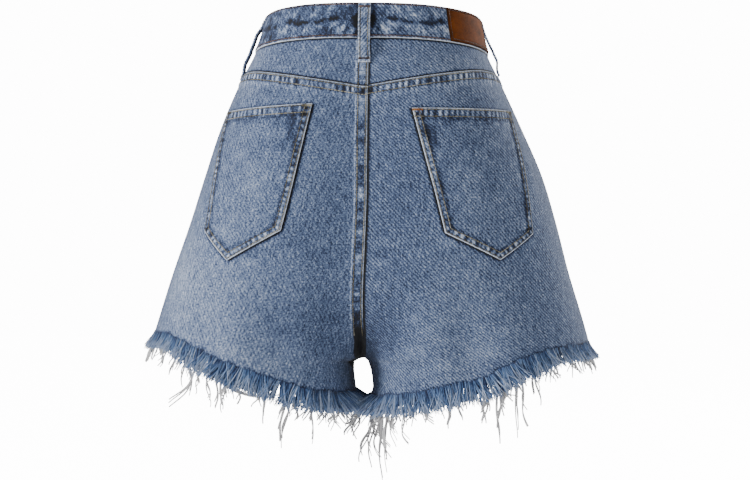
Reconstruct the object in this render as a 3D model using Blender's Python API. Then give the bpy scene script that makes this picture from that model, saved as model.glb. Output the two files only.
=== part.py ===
"""Cut-off denim shorts, filled out as if worn: waistband, yokes, panels, pockets, loops, fly, fringe.

Frame: +Z up, the wearer faces -Y and the wearer's left is +X. The origin is the centre of the waist
ring, where a wearer holds the garment up.

Every piece is laid on one smooth surface, the outer face of the cloth. A place on it is named by
side (+1 left, -1 right), face (+1 back, -1 front), dist, the distance along the cloth from the
centre line, and z, the height. Lengths are millimetres until a mesh is made, where MM turns them
into metres.
"""
import math

import bmesh
import bpy
import numpy as np
from mathutils import Vector

MM = 0.001
LEFT, RIGHT = 1, -1
BACK, FRONT = 1, -1

# Cloth and seams
GAP = 0.3                # clear space between two pieces at a seam
WALL = 1.5               # one layer of denim
BAND_WALL = 3.0          # folded waistband
BAND_PROUD = 1.2         # waistband outer face beyond the cloth below it
POCKET_WALL = 1.3
LOOP_WALL = 2.0
PATCH_WALL = 1.6
FELL_RAISE = 0.8         # how far a felled seam stands proud
FELL_HALF = 5.7          # half the width of the felled seam at the centre back
FELL_HEIGHT = 10.5       # height of the felled seam under the yoke
RIDGE = 1.2              # width of the step up to a raised band

# Waist ring
BAND_HALF = 18.2         # half the waistband's height
WAIST_TILT = math.tan(math.radians(7.0))    # the back is higher than the front
WAIST_ROLL = math.tan(math.radians(0.5))    # the left is a little higher than the right

# Crotch
CROTCH_Z = -335.0
CROTCH_Y = 5.0
CROTCH_GAP = 0.45        # extra space where four panels come together
RISE_CURVE = {BACK: 88.0, FRONT: 74.0}    # height over which the rise seam curves under
LEG_BLEND = 24.0         # height over which a section of the trunk turns into one of a leg
SWAY = 6.5               # sideways hang of the crotch towards the wearer's left
SWAY_TOP, SWAY_SPAN = -150.0, 180.0
SIDE_ROUNDNESS = 2.15    # 2 is an ellipse, more is squarer
LEG_ROUNDNESS = 2.3
CORNER_SHARE = 0.75      # how far the valley takes the shape of the legs' inner corners at the crotch

# Outer face of the cloth at each height: half-widths, depths behind and before the side seams,
# and how far from the centre line the section is deepest.
SECTION_COLUMNS = ("z", "left", "right", "back", "front", "spine")
SECTIONS = (
    (-400, 250, 246, 104, 92, 116),
    (-345, 239, 235, 109, 95, 104),
    (-296, 224, 222, 114, 96, 82),
    (-246, 208, 207, 118, 97, 68),
    (-195, 190, 194, 119, 98, 62),
    (-145, 174, 179, 116, 98, 55),
    (-94, 157, 157, 109, 96, 42),
    (-44, 135.5, 134, 98, 91, 24),
    (-19, 122.5, 122, 92, 87, 14),
    (15, 110.8, 113.5, 88, 83, 10),
    (50, 105.5, 108, 84, 80, 8),
)

# Depth of the soft hollow along the centre line
HOLLOW_COLUMNS = ("z", "back", "front")
HOLLOW = (
    (-335, 8, 3),
    (-246, 7, 1),
    (-145, 4, 0),
    (-57, 1, 0),
    (50, 0, 0),
)

# Space between each inner leg and the line that the crotch hangs on
INNER_LEG_COLUMNS = ("z", "left", "right")
INNER_LEG = (
    (-410, 4.0, 3.8),
    (-382, 4.0, 3.8),
    (-375, 4.2, 4.2),
    (-368, 7.0, 8.4),
    (-358, 9.2, 9.2),
    (-346, 10.8, 6.4),
    (-340, 9.8, 4.0),
    (-335, 0.0, 0.0),
)

# Soft flutes running down to the hem: where they start, where they meet the hem, width and height
FLUTE_COLUMNS = ("side", "face", "top_x", "top_z", "hem_x", "width", "height")
FLUTES = (
    (LEFT, BACK, 112, -238, 132, 26, 4.0),
    (LEFT, BACK, 70, -262, 76, 20, -3.0),
    (RIGHT, BACK, 70, -240, 82, 22, 3.5),
    (RIGHT, BACK, 108, -250, 118, 18, -2.5),
    (RIGHT, BACK, 142, -236, 162, 24, 3.5),
    (LEFT, FRONT, 84, -236, 100, 26, 3.5),
    (LEFT, FRONT, 140, -254, 160, 22, -2.5),
    (RIGHT, FRONT, 96, -230, 112, 28, 3.5),
    (RIGHT, FRONT, 52, -262, 60, 20, -2.5),
)
FLUTE_GROWTH = 70.0      # height over which a flute grows to its full depth

# Seam between the yoke and the back panel, by the share of the way from centre back to side seam
YOKE_SEAM_COLUMNS = ("share", "z")
YOKE_SEAM = ((0.0, -57.0), (0.2, -50.5), (0.42, -44.0), (0.68, -38.6), (1.0, -41.0))

# Raw hem edge on the back by distance from the centre plane; the front is a little higher
HEM_COLUMNS = ("x", "left", "right")
HEM = (
    (4, -373.0, -374.0),
    (60, -363.0, -366.0),
    (108, -347.0, -352.5),
    (150, -332.0, -337.5),
    (184, -317.0, -325.0),
    (206, -309.5, -321.0),
    (232, -310.0, -320.0),
)
FRONT_HEM_LIFT = 7.0

# Back pocket corners: distance from the centre back and height
POCKETS = {
    LEFT: {"top_in": (50.0, -74.6), "top_out": (168.0, -80.0), "low_in": (79.4, -202.6),
           "tip": (135.8, -232.8), "low_out": (171.5, -202.9)},
    RIGHT: {"top_in": (50.8, -79.6), "top_out": (176.0, -80.0), "low_in": (86.6, -205.1),
            "tip": (144.7, -232.1), "low_out": (184.6, -206.0)},
}
POCKET_HEM = 10.0        # folded hem along the pocket mouth
POCKET_BORDER = 7.0      # turned-in edge, stitched down
POCKET_RAISE = 0.6

# Belt loops: distance from a centre line, share of the cloth's flare that they follow, how far they
# stand off, lower end below the middle of the waistband, and share of the height where they are
# furthest off
LOOP_WIDTH = 12.6
LOOP_COLUMNS = ("side", "face", "dist", "flare", "slack", "drop", "furthest")
LOOPS = {
    "belt_loop_back": (RIGHT, BACK, 1.5, 0.0, 5.6, 43.5, 0.36),
    "belt_loop_side_left": (LEFT, BACK, 165.0, 1.0, 4.0, 46.0, 0.3),
    "belt_loop_side_right": (RIGHT, BACK, 170.0, 1.0, 4.8, 40.0, 0.72),
    "belt_loop_front_left": (LEFT, FRONT, 66.0, 0.4, 2.6, 42.0, 0.36),
    "belt_loop_front_right": (RIGHT, FRONT, 66.0, 0.4, 2.6, 42.0, 0.36),
}

# Leather patch on the right back of the waistband
PATCH_START, PATCH_WIDTH = 90.0, 70.0
PATCH_HALF_HEIGHT = 17.6

# Fly and front closing
FLY_BOTTOM = -160.0
FLY_WIDTH = 32.0
FLY_RAISE = 0.6
BAND_LAP = 9.0           # left end of the waistband past the centre front
BAND_UNDERLAP = 25.0     # right end of the waistband under the left one
BUTTON_RADIUS = 8.5
BUTTON_THICKNESS = 3.4

# Fringe
STRANDS_PER_LEG = 124
HEM_SAMPLES = 120        # places worked out along each half of a hem
STRIP_GAP = 0.9
STRIP_HEIGHT = 2.6
STRIP_WALL = 1.3
STRAND_LENGTH = 18.5
# Long loose threads on the back: distance from the centre plane and height of the lower end
LONG_THREADS = {
    LEFT: ((200, -352), (172, -372), (150, -380), (130, -398), (99, -400), (75, -400),
           (53, -415), (36, -416), (24, -430), (14, -434)),
    RIGHT: ((5, -452), (13, -438), (24, -412), (34, -404), (54, -393), (70, -388),
            (93, -394), (124, -399), (139, -408), (158, -402), (177, -370)),
}
# The same on the front, which hangs alike
FRONT_THREADS = ((20, -425), (48, -398), (90, -404), (128, -386), (170, -392))

HEX_DENIM = "7E92B4"
HEX_LEATHER = "8E5233"
HEX_BRASS = "B08D4A"
HEX_FRINGE = "8FB0D6"

SPINE_SHARE = 0.36       # share of a panel's columns between the centre line and the spine
BAND_END = {BACK: -296.0, FRONT: -190.0}    # where the columns of a raised band start to spread out
BAND_FADE = 38.0
SAMPLES = 90             # points on each half of a worked-out section
LEVEL_STEP = 2.5         # height between worked-out sections


def clear_scene():
    """Start from an empty scene."""
    for thing in list(bpy.data.objects):
        bpy.data.objects.remove(thing, do_unlink=True)


def ease(value):
    """Rise smoothly from 0 to 1."""
    value = min(max(value, 0.0), 1.0)
    return value * value * (3.0 - 2.0 * value)


def smooth_line(stations, values, place):
    """Read a smooth curve through (stations, values) at a place; stations rise."""
    slopes = np.gradient(values, stations)
    index = int(np.clip(np.searchsorted(stations, place) - 1, 0, len(stations) - 2))
    span = stations[index + 1] - stations[index]
    share = min(max((place - stations[index]) / span, 0.0), 1.0)
    square = share * share
    cube = square * share
    return float((2 * cube - 3 * square + 1) * values[index]
                 + (cube - 2 * square + share) * span * slopes[index]
                 + (3 * square - 2 * cube) * values[index + 1]
                 + (cube - square) * span * slopes[index + 1])


def reading(table, columns, name, place):
    """Read the named column of a table at a place in its first column."""
    grid = np.array(table, dtype=float)
    return smooth_line(grid[:, 0], grid[:, columns.index(name)], place)


def flute_height(side, face, x, z):
    """Height of the soft flutes at distance x from the centre plane and height z."""
    total = np.zeros_like(x)
    for row in FLUTES:
        flute = dict(zip(FLUTE_COLUMNS, row))
        if flute["side"] != side or flute["face"] != face or z >= flute["top_z"]:
            continue
        fall = flute["top_z"] - z
        line = flute["top_x"] + (flute["hem_x"] - flute["top_x"]) * fall / 100.0
        across = (x - line) / flute["width"]
        total += flute["height"] * ease(fall / FLUTE_GROWTH) * np.exp(-across * across)
    return total


def half_section(side, face, z):
    """Points (x, y) of one quarter of the cloth at height z, from the centre to the side seam."""
    half = reading(SECTIONS, SECTION_COLUMNS, "left" if side == LEFT else "right", z)
    depth = reading(SECTIONS, SECTION_COLUMNS, "back" if face == BACK else "front", z)
    spine = reading(SECTIONS, SECTION_COLUMNS, "spine", z)
    hollow = reading(HOLLOW, HOLLOW_COLUMNS, "back" if face == BACK else "front", z)
    crotch = face * CROTCH_Y + CROTCH_GAP * math.exp(-((z - CROTCH_Z) / 10.0) ** 2)

    # Centre to spine: in the trunk a valley whose floor is the rise seam, in a leg its inner corner
    climb = min(max((z - CROTCH_Z) / RISE_CURVE[face], 0.0), 1.0)
    rise = math.sqrt(1.0 - (1.0 - climb) ** 2)
    floor = crotch + (depth - hollow - crotch) * rise
    leg = "left" if side == LEFT else "right"
    space = max(reading(INNER_LEG, INNER_LEG_COLUMNS, leg, min(z, CROTCH_Z)), 0.0)
    share = np.linspace(1.0, 0.0, SAMPLES)
    drop = share ** (1.0 + 1.5 * (1.0 - rise))
    valley_x = spine - (spine - space) * share
    valley_y = depth - (depth - floor) * drop * drop * (3.0 - 2.0 * drop)
    turn = share * math.pi / 2.0
    power = 2.0 / LEG_ROUNDNESS
    corner_x = spine - (spine - space) * np.sin(turn) ** power
    corner_y = floor + (depth - floor) * np.maximum(np.cos(turn), 0.0) ** power
    corner = CORNER_SHARE * (1.0 - rise) + (1.0 - CORNER_SHARE) * ease((CROTCH_Z - z) / LEG_BLEND)
    inner_x = valley_x + (corner_x - valley_x) * corner
    inner_y = valley_y + (corner_y - valley_y) * corner

    # Spine to side seam
    turn = np.linspace(math.pi / 2.0, 0.0, SAMPLES)[1:]
    power = 2.0 / SIDE_ROUNDNESS
    outer_x = spine + (half - spine) * np.maximum(np.cos(turn), 0.0) ** power
    outer_y = depth * np.maximum(np.sin(turn), 0.0) ** power

    x = np.concatenate((inner_x, outer_x))
    y = np.concatenate((inner_y, outer_y))
    y += flute_height(side, face, x, z) * np.clip(y / depth, 0.0, 1.0)
    sway = SWAY * ease((SWAY_TOP - z) / SWAY_SPAN) * (1.0 - np.clip(x / half, 0.0, 1.0) ** 2)
    return side * x + sway, face * y


class Cloth:
    """The outer face of one quarter, read from sections spaced evenly along the cloth."""

    def __init__(self, side, face):
        self.levels = np.arange(-470.0, 60.0, LEVEL_STEP)
        self.lengths = []
        self.spines = []
        rows = []
        for z in self.levels:
            x, y = half_section(side, face, z)
            walk = np.concatenate(([0.0], np.cumsum(np.hypot(np.diff(x), np.diff(y)))))
            even = np.linspace(0.0, walk[-1], 2 * SAMPLES)
            rows.append(np.column_stack((np.interp(even, walk, x), np.interp(even, walk, y))))
            self.lengths.append(walk[-1])
            self.spines.append(walk[SAMPLES - 1])
        self.rows = np.array(rows)

    def length(self, z):
        """Length of the cloth from the centre line to the side seam at height z."""
        return float(np.interp(z, self.levels, self.lengths))

    def spread(self, share, z):
        """Distance along the cloth of a share that keeps its place on the form at every height."""
        spine = float(np.interp(z, self.levels, self.spines))
        if share < SPINE_SHARE:
            return spine * share / SPINE_SHARE
        return spine + (self.length(z) - spine) * (share - SPINE_SHARE) / (1.0 - SPINE_SHARE)

    def point(self, dist, z):
        """The point at a distance along the cloth from the centre line."""
        row = (z - self.levels[0]) / LEVEL_STEP
        low = int(min(max(math.floor(row), 0), len(self.levels) - 2))
        part = row - low
        column = min(max(dist / self.length(z), 0.0), 1.0) * (2 * SAMPLES - 1)
        first = int(min(column, 2 * SAMPLES - 2))
        across = column - first
        near = self.rows[low, first] * (1 - across) + self.rows[low, first + 1] * across
        far = self.rows[low + 1, first] * (1 - across) + self.rows[low + 1, first + 1] * across
        x, y = near * (1 - part) + far * part
        return Vector((x, y, z))


QUARTERS = {(side, face): Cloth(side, face) for side in (LEFT, RIGHT) for face in (BACK, FRONT)}


def half_length(side, z):
    """Length of the cloth from the centre back round to the centre front."""
    return QUARTERS[side, BACK].length(z) + QUARTERS[side, FRONT].length(z)


def round_point(side, way, z):
    """The point a way round from the centre back.

    Past a centre line it is on the other side of the trunk, or further round the same leg.
    """
    total = half_length(side, z)
    if z <= CROTCH_Z:
        way %= total
    elif way < 0.0:
        return round_point(-side, -way, z)
    elif way > total:
        return round_point(-side, half_length(-side, z) - (way - total), z)
    back = QUARTERS[side, BACK].length(z)
    if way <= back:
        return QUARTERS[side, BACK].point(way, z)
    return QUARTERS[side, FRONT].point(total - way, z)


def round_laid(side, way, z, out):
    """The point a way round from the centre back, moved out from the cloth, and which way is out."""
    step = 2.0
    across = round_point(side, way + step, z) - round_point(side, way - step, z)
    up = round_point(side, way, z + step) - round_point(side, way, z - step)
    outward = up.cross(across).normalized() * side
    return round_point(side, way, z) + outward * out, outward


def way_of(side, face, dist, z):
    """Turn a distance from a centre line into a way round from the centre back."""
    return dist if face == BACK else half_length(side, z) - dist


def laid(side, face, dist, z, out=0.0):
    """The point at a distance from a face's centre line, moved out, and which way is out."""
    return round_laid(side, way_of(side, face, dist, z), z, out)


def ring_height(point):
    """Height of the middle of the tilted waist ring above or below a point."""
    return WAIST_TILT * point.y + WAIST_ROLL * point.x


def band_line(side, way_share, height):
    """Height of a line round the tilted waist ring, at a share of the way to the centre front."""
    z = height
    for _ in range(4):
        z = height + ring_height(round_point(side, way_share * half_length(side, z), z))
    return z


def band_base(side, face, dist, z):
    """Height of the edge that meets the waistband."""
    return ring_height(QUARTERS[side, face].point(dist, z)) - BAND_HALF - GAP


def yoke_line(side, dist, z):
    """Height of the seam under the yoke."""
    return reading(YOKE_SEAM, YOKE_SEAM_COLUMNS, "z", dist / QUARTERS[side, BACK].length(z))


def hem_line(side, face, dist, z):
    """Height of the raw hem edge."""
    low_x, high_x = HEM[0][0], HEM[-1][0]
    x = min(max(abs(QUARTERS[side, face].point(dist, z).x), low_x), high_x)
    lift = FRONT_HEM_LIFT * math.sin(math.pi * (x - low_x) / (high_x - low_x)) if face == FRONT else 0.0
    return reading(HEM, HEM_COLUMNS, "left" if side == LEFT else "right", x) + lift


def centre_edge(side, z):
    """Where a piece starts beside the centre line: the left piece laps over the right one."""
    lap = FELL_HALF * ease((z - CROTCH_Z) / 60.0)
    return GAP / 2 - lap if side == LEFT else GAP / 2 + lap


def collection(name):
    """Make a collection in the scene."""
    made = bpy.data.collections.new(name)
    bpy.context.scene.collection.children.link(made)
    return made


def material(name, hex_colour, roughness, metallic=0.0):
    """A plain Principled material from an sRGB hex colour."""
    made = bpy.data.materials.new(name)
    made.use_nodes = True
    shader = made.node_tree.nodes["Principled BSDF"]
    colour = [(int(hex_colour[i:i + 2], 16) / 255.0) ** 2.2 for i in (0, 2, 4)]
    shader.inputs["Base Color"].default_value = (*colour, 1.0)
    shader.inputs["Roughness"].default_value = roughness
    shader.inputs["Metallic"].default_value = metallic
    return made


def add_object(name, bm, finish):
    """Turn a bmesh in millimetres into a named object in metres."""
    bmesh.ops.scale(bm, vec=(MM, MM, MM), verts=bm.verts)
    mesh = bpy.data.meshes.new(name)
    bm.to_mesh(mesh)
    bm.free()
    mesh.shade_smooth()
    mesh.set_sharp_from_angle(angle=math.radians(35.0))
    made = bpy.data.objects.new(name, mesh)
    made.data.materials.append(finish)
    SHORTS.objects.link(made)
    return made


def face_outwards(bm):
    """Turn the faces of a closed body outwards."""
    bmesh.ops.recalc_face_normals(bm, faces=bm.faces)
    if bm.calc_volume(signed=True) < 0.0:
        bmesh.ops.reverse_faces(bm, faces=bm.faces)


def sheet(name, columns, rows, place, finish, wall):
    """A closed wall of cloth from a grid laid by place(column, row) -> ((point, outward), raise).

    The grid is the outer face. It is drawn out into a wall on its inner side, which stays plain
    where the outer face is raised.
    """
    bm = bmesh.new()
    bmesh.ops.create_grid(bm, x_segments=columns - 1, y_segments=rows - 1, size=0.5)
    outer = {}
    for vert in bm.verts:
        column = round((vert.co.x + 0.5) * (columns - 1))
        row = round((vert.co.y + 0.5) * (rows - 1))
        (point, outward), raised = place(column, row)
        outer[column, row] = point, outward, raised
    drawn = bmesh.ops.extrude_face_region(bm, geom=bm.faces[:], use_keep_orig=True)
    inner = {item for item in drawn["geom"] if isinstance(item, bmesh.types.BMVert)}
    for vert in bm.verts:
        column = round((vert.co.x + 0.5) * (columns - 1))
        row = round((vert.co.y + 0.5) * (rows - 1))
        point, outward, raised = outer[column, row]
        vert.co = point - outward * (wall + raised) if vert in inner else point
    face_outwards(bm)
    return add_object(name, bm, finish)


def spaced(start, end, count):
    """Evenly spaced numbers from start to end."""
    return [start + (end - start) * index / (count - 1) for index in range(count)]


def panel_levels(top, bottom, count):
    """Shares of a panel's height, closer together near the crotch."""
    crotch = (top - CROTCH_Z) / (top - bottom)
    above = [crotch * (1.0 - (1.0 - index / count) ** 1.35) for index in range(count)]
    below = [crotch + (1.0 - crotch) * share for share in (0.0, 0.13, 0.32, 0.6, 1.0)]
    return above + below


def settle(line, place, z):
    """Height where a column of a grid meets a line; both depend a little on the height itself."""
    for _ in range(12):
        z = line(place(z), z)
    return z


def body_piece(name, side, face, top_line, bottom_line, levels, columns, bands, raise_at):
    """A yoke or a panel: from its centre edge to the side seam, between two lines.

    Its grid has columns on the edges of a raised band, which join the others below the band.
    """
    quarter = QUARTERS[side, face]
    spread_columns = columns - len(bands) - 1
    band_end = BAND_END[face]

    def column_dist(column, z):
        edge = centre_edge(side, z)
        end = quarter.length(z) - GAP / 2
        fixed = [edge] + bands
        if column < len(fixed):
            banded = fixed[column]
        else:
            share = quarter.spread((column - len(bands)) / spread_columns, z) / quarter.length(z)
            banded = fixed[-1] + (end - fixed[-1]) * share
        plain = edge + (end - edge) * quarter.spread(column / (columns - 1), z) / quarter.length(z)
        return banded + (plain - banded) * ease((band_end - z) / BAND_FADE)

    ends = [(settle(top_line, lambda z: column_dist(column, z), -50.0),
             settle(bottom_line, lambda z: column_dist(column, z), -340.0)) for column in range(columns)]

    def place(column, row):
        top, bottom = ends[column]
        z = top + (bottom - top) * levels[row]
        dist = column_dist(column, z)
        height = raise_at(dist, z, top)
        return laid(side, face, dist, z, height), height

    return sheet(name, columns, len(levels), place, DENIM, WALL)


def seam_fade(z):
    """Felled seams flatten out towards the crotch."""
    return ease((z - CROTCH_Z - 8.0) / 40.0)


def make_yokes():
    """Two yokes, whose shaping seam dips to a point at the centre back."""
    for side, name in ((LEFT, "yoke_left"), (RIGHT, "yoke_right")):
        bands = [FELL_HALF, FELL_HALF + RIDGE] if side == LEFT else []

        def raise_at(dist, z, top, side=side):
            return FELL_RAISE if side == LEFT and dist <= FELL_HALF else 0.0

        def top_line(dist, z, side=side):
            return band_base(side, BACK, dist, z)

        def bottom_line(dist, z, side=side):
            return yoke_line(side, dist, z) + GAP

        body_piece(name, side, BACK, top_line, bottom_line, spaced(0.0, 1.0, 5), 15, bands, raise_at)


def make_back_panels():
    """Back panels, with felled seams standing proud under the yoke and down the centre back."""
    for side, name in ((LEFT, "back_left"), (RIGHT, "back_right")):
        bands = [FELL_HALF, FELL_HALF + RIDGE] if side == LEFT else []
        top, bottom = YOKE_SEAM[0][1], hem_line(side, BACK, 0.0, CROTCH_Z)
        levels = panel_levels(top, bottom, 13)
        fell = FELL_HEIGHT / (top - bottom)
        levels[1:1] = [fell, fell + RIDGE / (top - bottom)]

        def raise_at(dist, z, top, side=side):
            if top - z <= FELL_HEIGHT + RIDGE / 2:
                return FELL_RAISE
            return FELL_RAISE * seam_fade(z) if side == LEFT and dist <= FELL_HALF else 0.0

        def top_line(dist, z, side=side):
            return yoke_line(side, dist, z)

        def bottom_line(dist, z, side=side):
            return hem_line(side, BACK, dist, z)

        body_piece(name, side, BACK, top_line, bottom_line, levels, 16, bands, raise_at)


def make_front_panels():
    """Front panels; the left one carries the raised fly."""
    for side, name in ((LEFT, "front_left"), (RIGHT, "front_right")):
        fly = [FLY_WIDTH / 3, FLY_WIDTH * 2 / 3, FLY_WIDTH, FLY_WIDTH + RIDGE]
        bands = fly if side == LEFT else []
        top, bottom = band_base(side, FRONT, 0.0, 0.0), hem_line(side, FRONT, 0.0, CROTCH_Z)
        levels = panel_levels(top, bottom, 13)
        levels[1:1] = [levels[1] / 3, levels[1] * 2 / 3]

        def raise_at(dist, z, top, side=side):
            curve = FLY_BOTTOM + 30.0 * max(dist / FLY_WIDTH, 0.0) ** 3
            return FLY_RAISE if side == LEFT and dist <= FLY_WIDTH and z > curve else 0.0

        def top_line(dist, z, side=side):
            return band_base(side, FRONT, dist, z)

        def bottom_line(dist, z, side=side):
            return hem_line(side, FRONT, dist, z)

        columns = 16 + len(bands) // 2
        body_piece(name, side, FRONT, top_line, bottom_line, levels, columns, bands, raise_at)


def make_waistband():
    """Two halves of a folded band; at the front the left end laps over the right one."""
    heights = [-BAND_HALF, -BAND_HALF + 1.5, 0.0, BAND_HALF - 1.5, BAND_HALF]
    edge_round = [0.6, 0.0, 0.0, 0.0, 0.6]
    for side, name in ((LEFT, "waistband_left"), (RIGHT, "waistband_right")):
        total = half_length(side, 0.0)
        if side == LEFT:
            ways = spaced(GAP / 2, total + BAND_LAP, 30)
        else:
            step = total - BAND_LAP - GAP
            ways = spaced(GAP / 2, step - 5.0, 27) + [step] + spaced(step + 8.0, total + BAND_UNDERLAP, 3)

        def place(column, row, side=side, ways=ways, total=total):
            way = ways[column]
            z = band_line(side, way / total, heights[row])
            out = BAND_PROUD - edge_round[row]
            if side == RIGHT and way > total - BAND_LAP - 2 * GAP:
                out -= BAND_WALL + GAP
            return round_laid(side, way * half_length(side, z) / total, z, out), 0.0

        sheet(name, len(ways), len(heights), place, DENIM, BAND_WALL)


def make_pocket(side, name):
    """A pointed patch pocket with a folded hem along its mouth and a turned-in border."""
    corners = POCKETS[side]
    width = corners["top_out"][0] - corners["top_in"][0]
    height = corners["top_in"][1] - corners["low_in"][1]
    tip_share = (corners["tip"][0] - corners["low_in"][0]) / (corners["low_out"][0] - corners["low_in"][0])
    edge, inner = POCKET_BORDER / width, (POCKET_BORDER + RIDGE) / width
    across = [0.0, edge, inner] + spaced(0.17, 1.0 - 0.17, 7) + [1.0 - inner, 1.0 - edge, 1.0]
    nearest = min(range(3, 10), key=lambda index: abs(across[index] - tip_share))
    across[nearest] = tip_share
    hem, hem_end = POCKET_HEM / height, (POCKET_HEM + RIDGE) / height
    low, low_in = 1.0 - POCKET_BORDER / height, 1.0 - (POCKET_BORDER + RIDGE) / height
    down = [0.0, hem, hem_end] + spaced(0.2, 0.84, 7) + [low_in, low, 1.0]

    def between(first, second, share):
        return tuple(a + (b - a) * share for a, b in zip(corners[first], corners[second]))

    def place(column, row):
        share = across[column]
        top = between("top_in", "top_out", share)
        if share <= tip_share:
            base = between("low_in", "tip", share / tip_share)
        else:
            base = between("tip", "low_out", (share - tip_share) / (1.0 - tip_share))
        dist, z = (a + (b - a) * down[row] for a, b in zip(top, base))
        border = column <= 1 or column >= len(across) - 2 or row <= 1 or row >= len(down) - 2
        raised = POCKET_RAISE if border else 0.0
        return laid(side, BACK, dist, z, GAP + POCKET_WALL + raised), raised

    sheet(name, len(across), len(down), place, DENIM, POCKET_WALL)


def make_loop(name):
    """A belt loop: sewn down at both ends, standing off the waistband between them."""
    loop = dict(zip(LOOP_COLUMNS, LOOPS[name]))
    side, face, dist = loop["side"], loop["face"], loop["dist"]
    length = QUARTERS[side, face].length(0.0)
    way_share = way_of(side, face, dist, 0.0) / half_length(side, 0.0)
    top = band_line(side, way_share, BAND_HALF - 0.6)
    height = loop["drop"] + BAND_HALF - 0.6
    rise = [0.0, 0.05, 0.13, 0.24, 0.38, 0.52, 0.66, 0.78, 0.88, 0.95, 1.0]
    fell = FELL_RAISE if face == BACK else 0.0

    def place(column, row):
        share = rise[row]
        z = top - height * share
        flare = 1.0 + loop["flare"] * (QUARTERS[side, face].length(z) / length - 1.0)
        across = dist * flare + (column - 1) * LOOP_WIDTH / 2
        seat = BAND_PROUD + (fell - BAND_PROUD) * ease((share * height - 2 * BAND_HALF + 3.0) / 3.0)
        lift = loop["slack"] * ease((share - 0.06) / (loop["furthest"] - 0.06)) * ease((0.94 - share) / 0.2)
        return laid(side, face, across, z, seat + GAP + lift + LOOP_WALL), 0.0

    sheet(name, 3, len(rise), place, DENIM, LOOP_WALL)


def make_patch():
    """A bare leather patch over the height of the waistband."""
    total = half_length(RIGHT, 0.0)
    ways = spaced(PATCH_START, PATCH_START + PATCH_WIDTH, 9)
    heights = spaced(-PATCH_HALF_HEIGHT, PATCH_HALF_HEIGHT, 3)

    def place(column, row):
        z = band_line(RIGHT, ways[column] / total, heights[row])
        way = ways[column] * half_length(RIGHT, z) / total
        return round_laid(RIGHT, way, z, BAND_PROUD + GAP + PATCH_WALL), 0.0

    sheet("leather_patch", len(ways), len(heights), place, LEATHER, PATCH_WALL)


def make_fly():
    """The underlap behind the fly, and the closed zip between it and the left front."""
    top = band_base(LEFT, FRONT, 0.0, 0.0) - 1.0
    for name, start, end, bottom, depth, wall, finish in (
            ("zip", -4.0, 18.0, FLY_BOTTOM + 14.0, WALL + 2 * GAP, 1.5, BRASS),
            ("fly_shield", -12.0, FLY_WIDTH - 2.0, FLY_BOTTOM, WALL + 3 * GAP + 1.5, WALL, DENIM)):

        def place(column, row, start=start, end=end, bottom=bottom, depth=depth):
            z = top + (bottom - top) * row / 9
            return laid(LEFT, FRONT, start + (end - start) * column / 4, z, -depth), 0.0

        sheet(name, 5, 10, place, finish, wall)


def make_button():
    """A turned shank button on the centre front of the waistband."""
    z = band_line(LEFT, 1.0, 0.0)
    seat, outward = round_laid(LEFT, half_length(LEFT, z), z, BAND_PROUD + GAP)
    rim, thick = BUTTON_RADIUS, BUTTON_THICKNESS
    # Turned profile, from the middle of the face out to the rim and back under to the middle
    profile = ((0.0, 0.72), (0.62, 0.7), (0.74, 1.0), (0.92, 1.0), (1.0, 0.72), (0.94, 0.42),
               (0.55, 0.3), (0.5, 0.0), (0.0, 0.0))
    bm = bmesh.new()
    verts = [bm.verts.new((rim * radius, 0.0, thick * height)) for radius, height in profile]
    edges = [bm.edges.new(pair) for pair in zip(verts, verts[1:])]
    bmesh.ops.spin(bm, geom=verts + edges, axis=(0, 0, 1), cent=(0, 0, 0), steps=20,
                   angle=2 * math.pi, use_merge=True)
    bmesh.ops.remove_doubles(bm, verts=bm.verts, dist=0.001)
    face_outwards(bm)
    turn = outward.to_track_quat("Z", "Y").to_matrix()
    for vert in bm.verts:
        vert.co = seat + turn @ vert.co
    add_object("waist_button", bm, BRASS)


def strand_lengths(side, places):
    """Length of each strand: short and nearly even, with the long loose threads among them."""
    lengths = [STRAND_LENGTH + 2.2 * math.sin(2.4 * index) for index in range(len(places))]
    rows = [(BACK, x, low) for x, low in LONG_THREADS[side]]
    rows += [(FRONT, x, low) for x, low in FRONT_THREADS]
    for face, x, low in rows:
        near = min((index for index, place in enumerate(places) if place[0].y * face > 0.0),
                   key=lambda index: abs(abs(places[index][0].x) - x))
        lengths[near] = places[near][0].z - low
    return lengths


def hem_places(side):
    """Evenly spaced places just below one leg's hem edge: down the back, then back up the front."""
    track = []
    for face in (BACK, FRONT):
        quarter = QUARTERS[side, face]
        shares = np.linspace(0.004, 0.996, HEM_SAMPLES)
        for share in shares if face == BACK else shares[::-1]:
            z = settle(lambda dist, z: hem_line(side, face, dist, z),
                       lambda z: quarter.spread(share, z), -340.0) - STRIP_GAP
            track.append(laid(side, face, quarter.spread(share, z), z))
    points = np.array([point for point, _ in track] + [track[0][0]])
    walk = np.concatenate(([0.0], np.cumsum(np.linalg.norm(np.diff(points, axis=0), axis=1))))
    places = []
    for step in np.linspace(0.0, walk[-1], STRANDS_PER_LEG, endpoint=False):
        after = int(np.clip(np.searchsorted(walk, step), 1, len(walk) - 1))
        share = (step - walk[after - 1]) / (walk[after] - walk[after - 1])
        first, second = track[after - 1], track[after % len(track)]
        places.append((first[0].lerp(second[0], share), first[1].lerp(second[1], share).normalized()))
    return places


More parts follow.
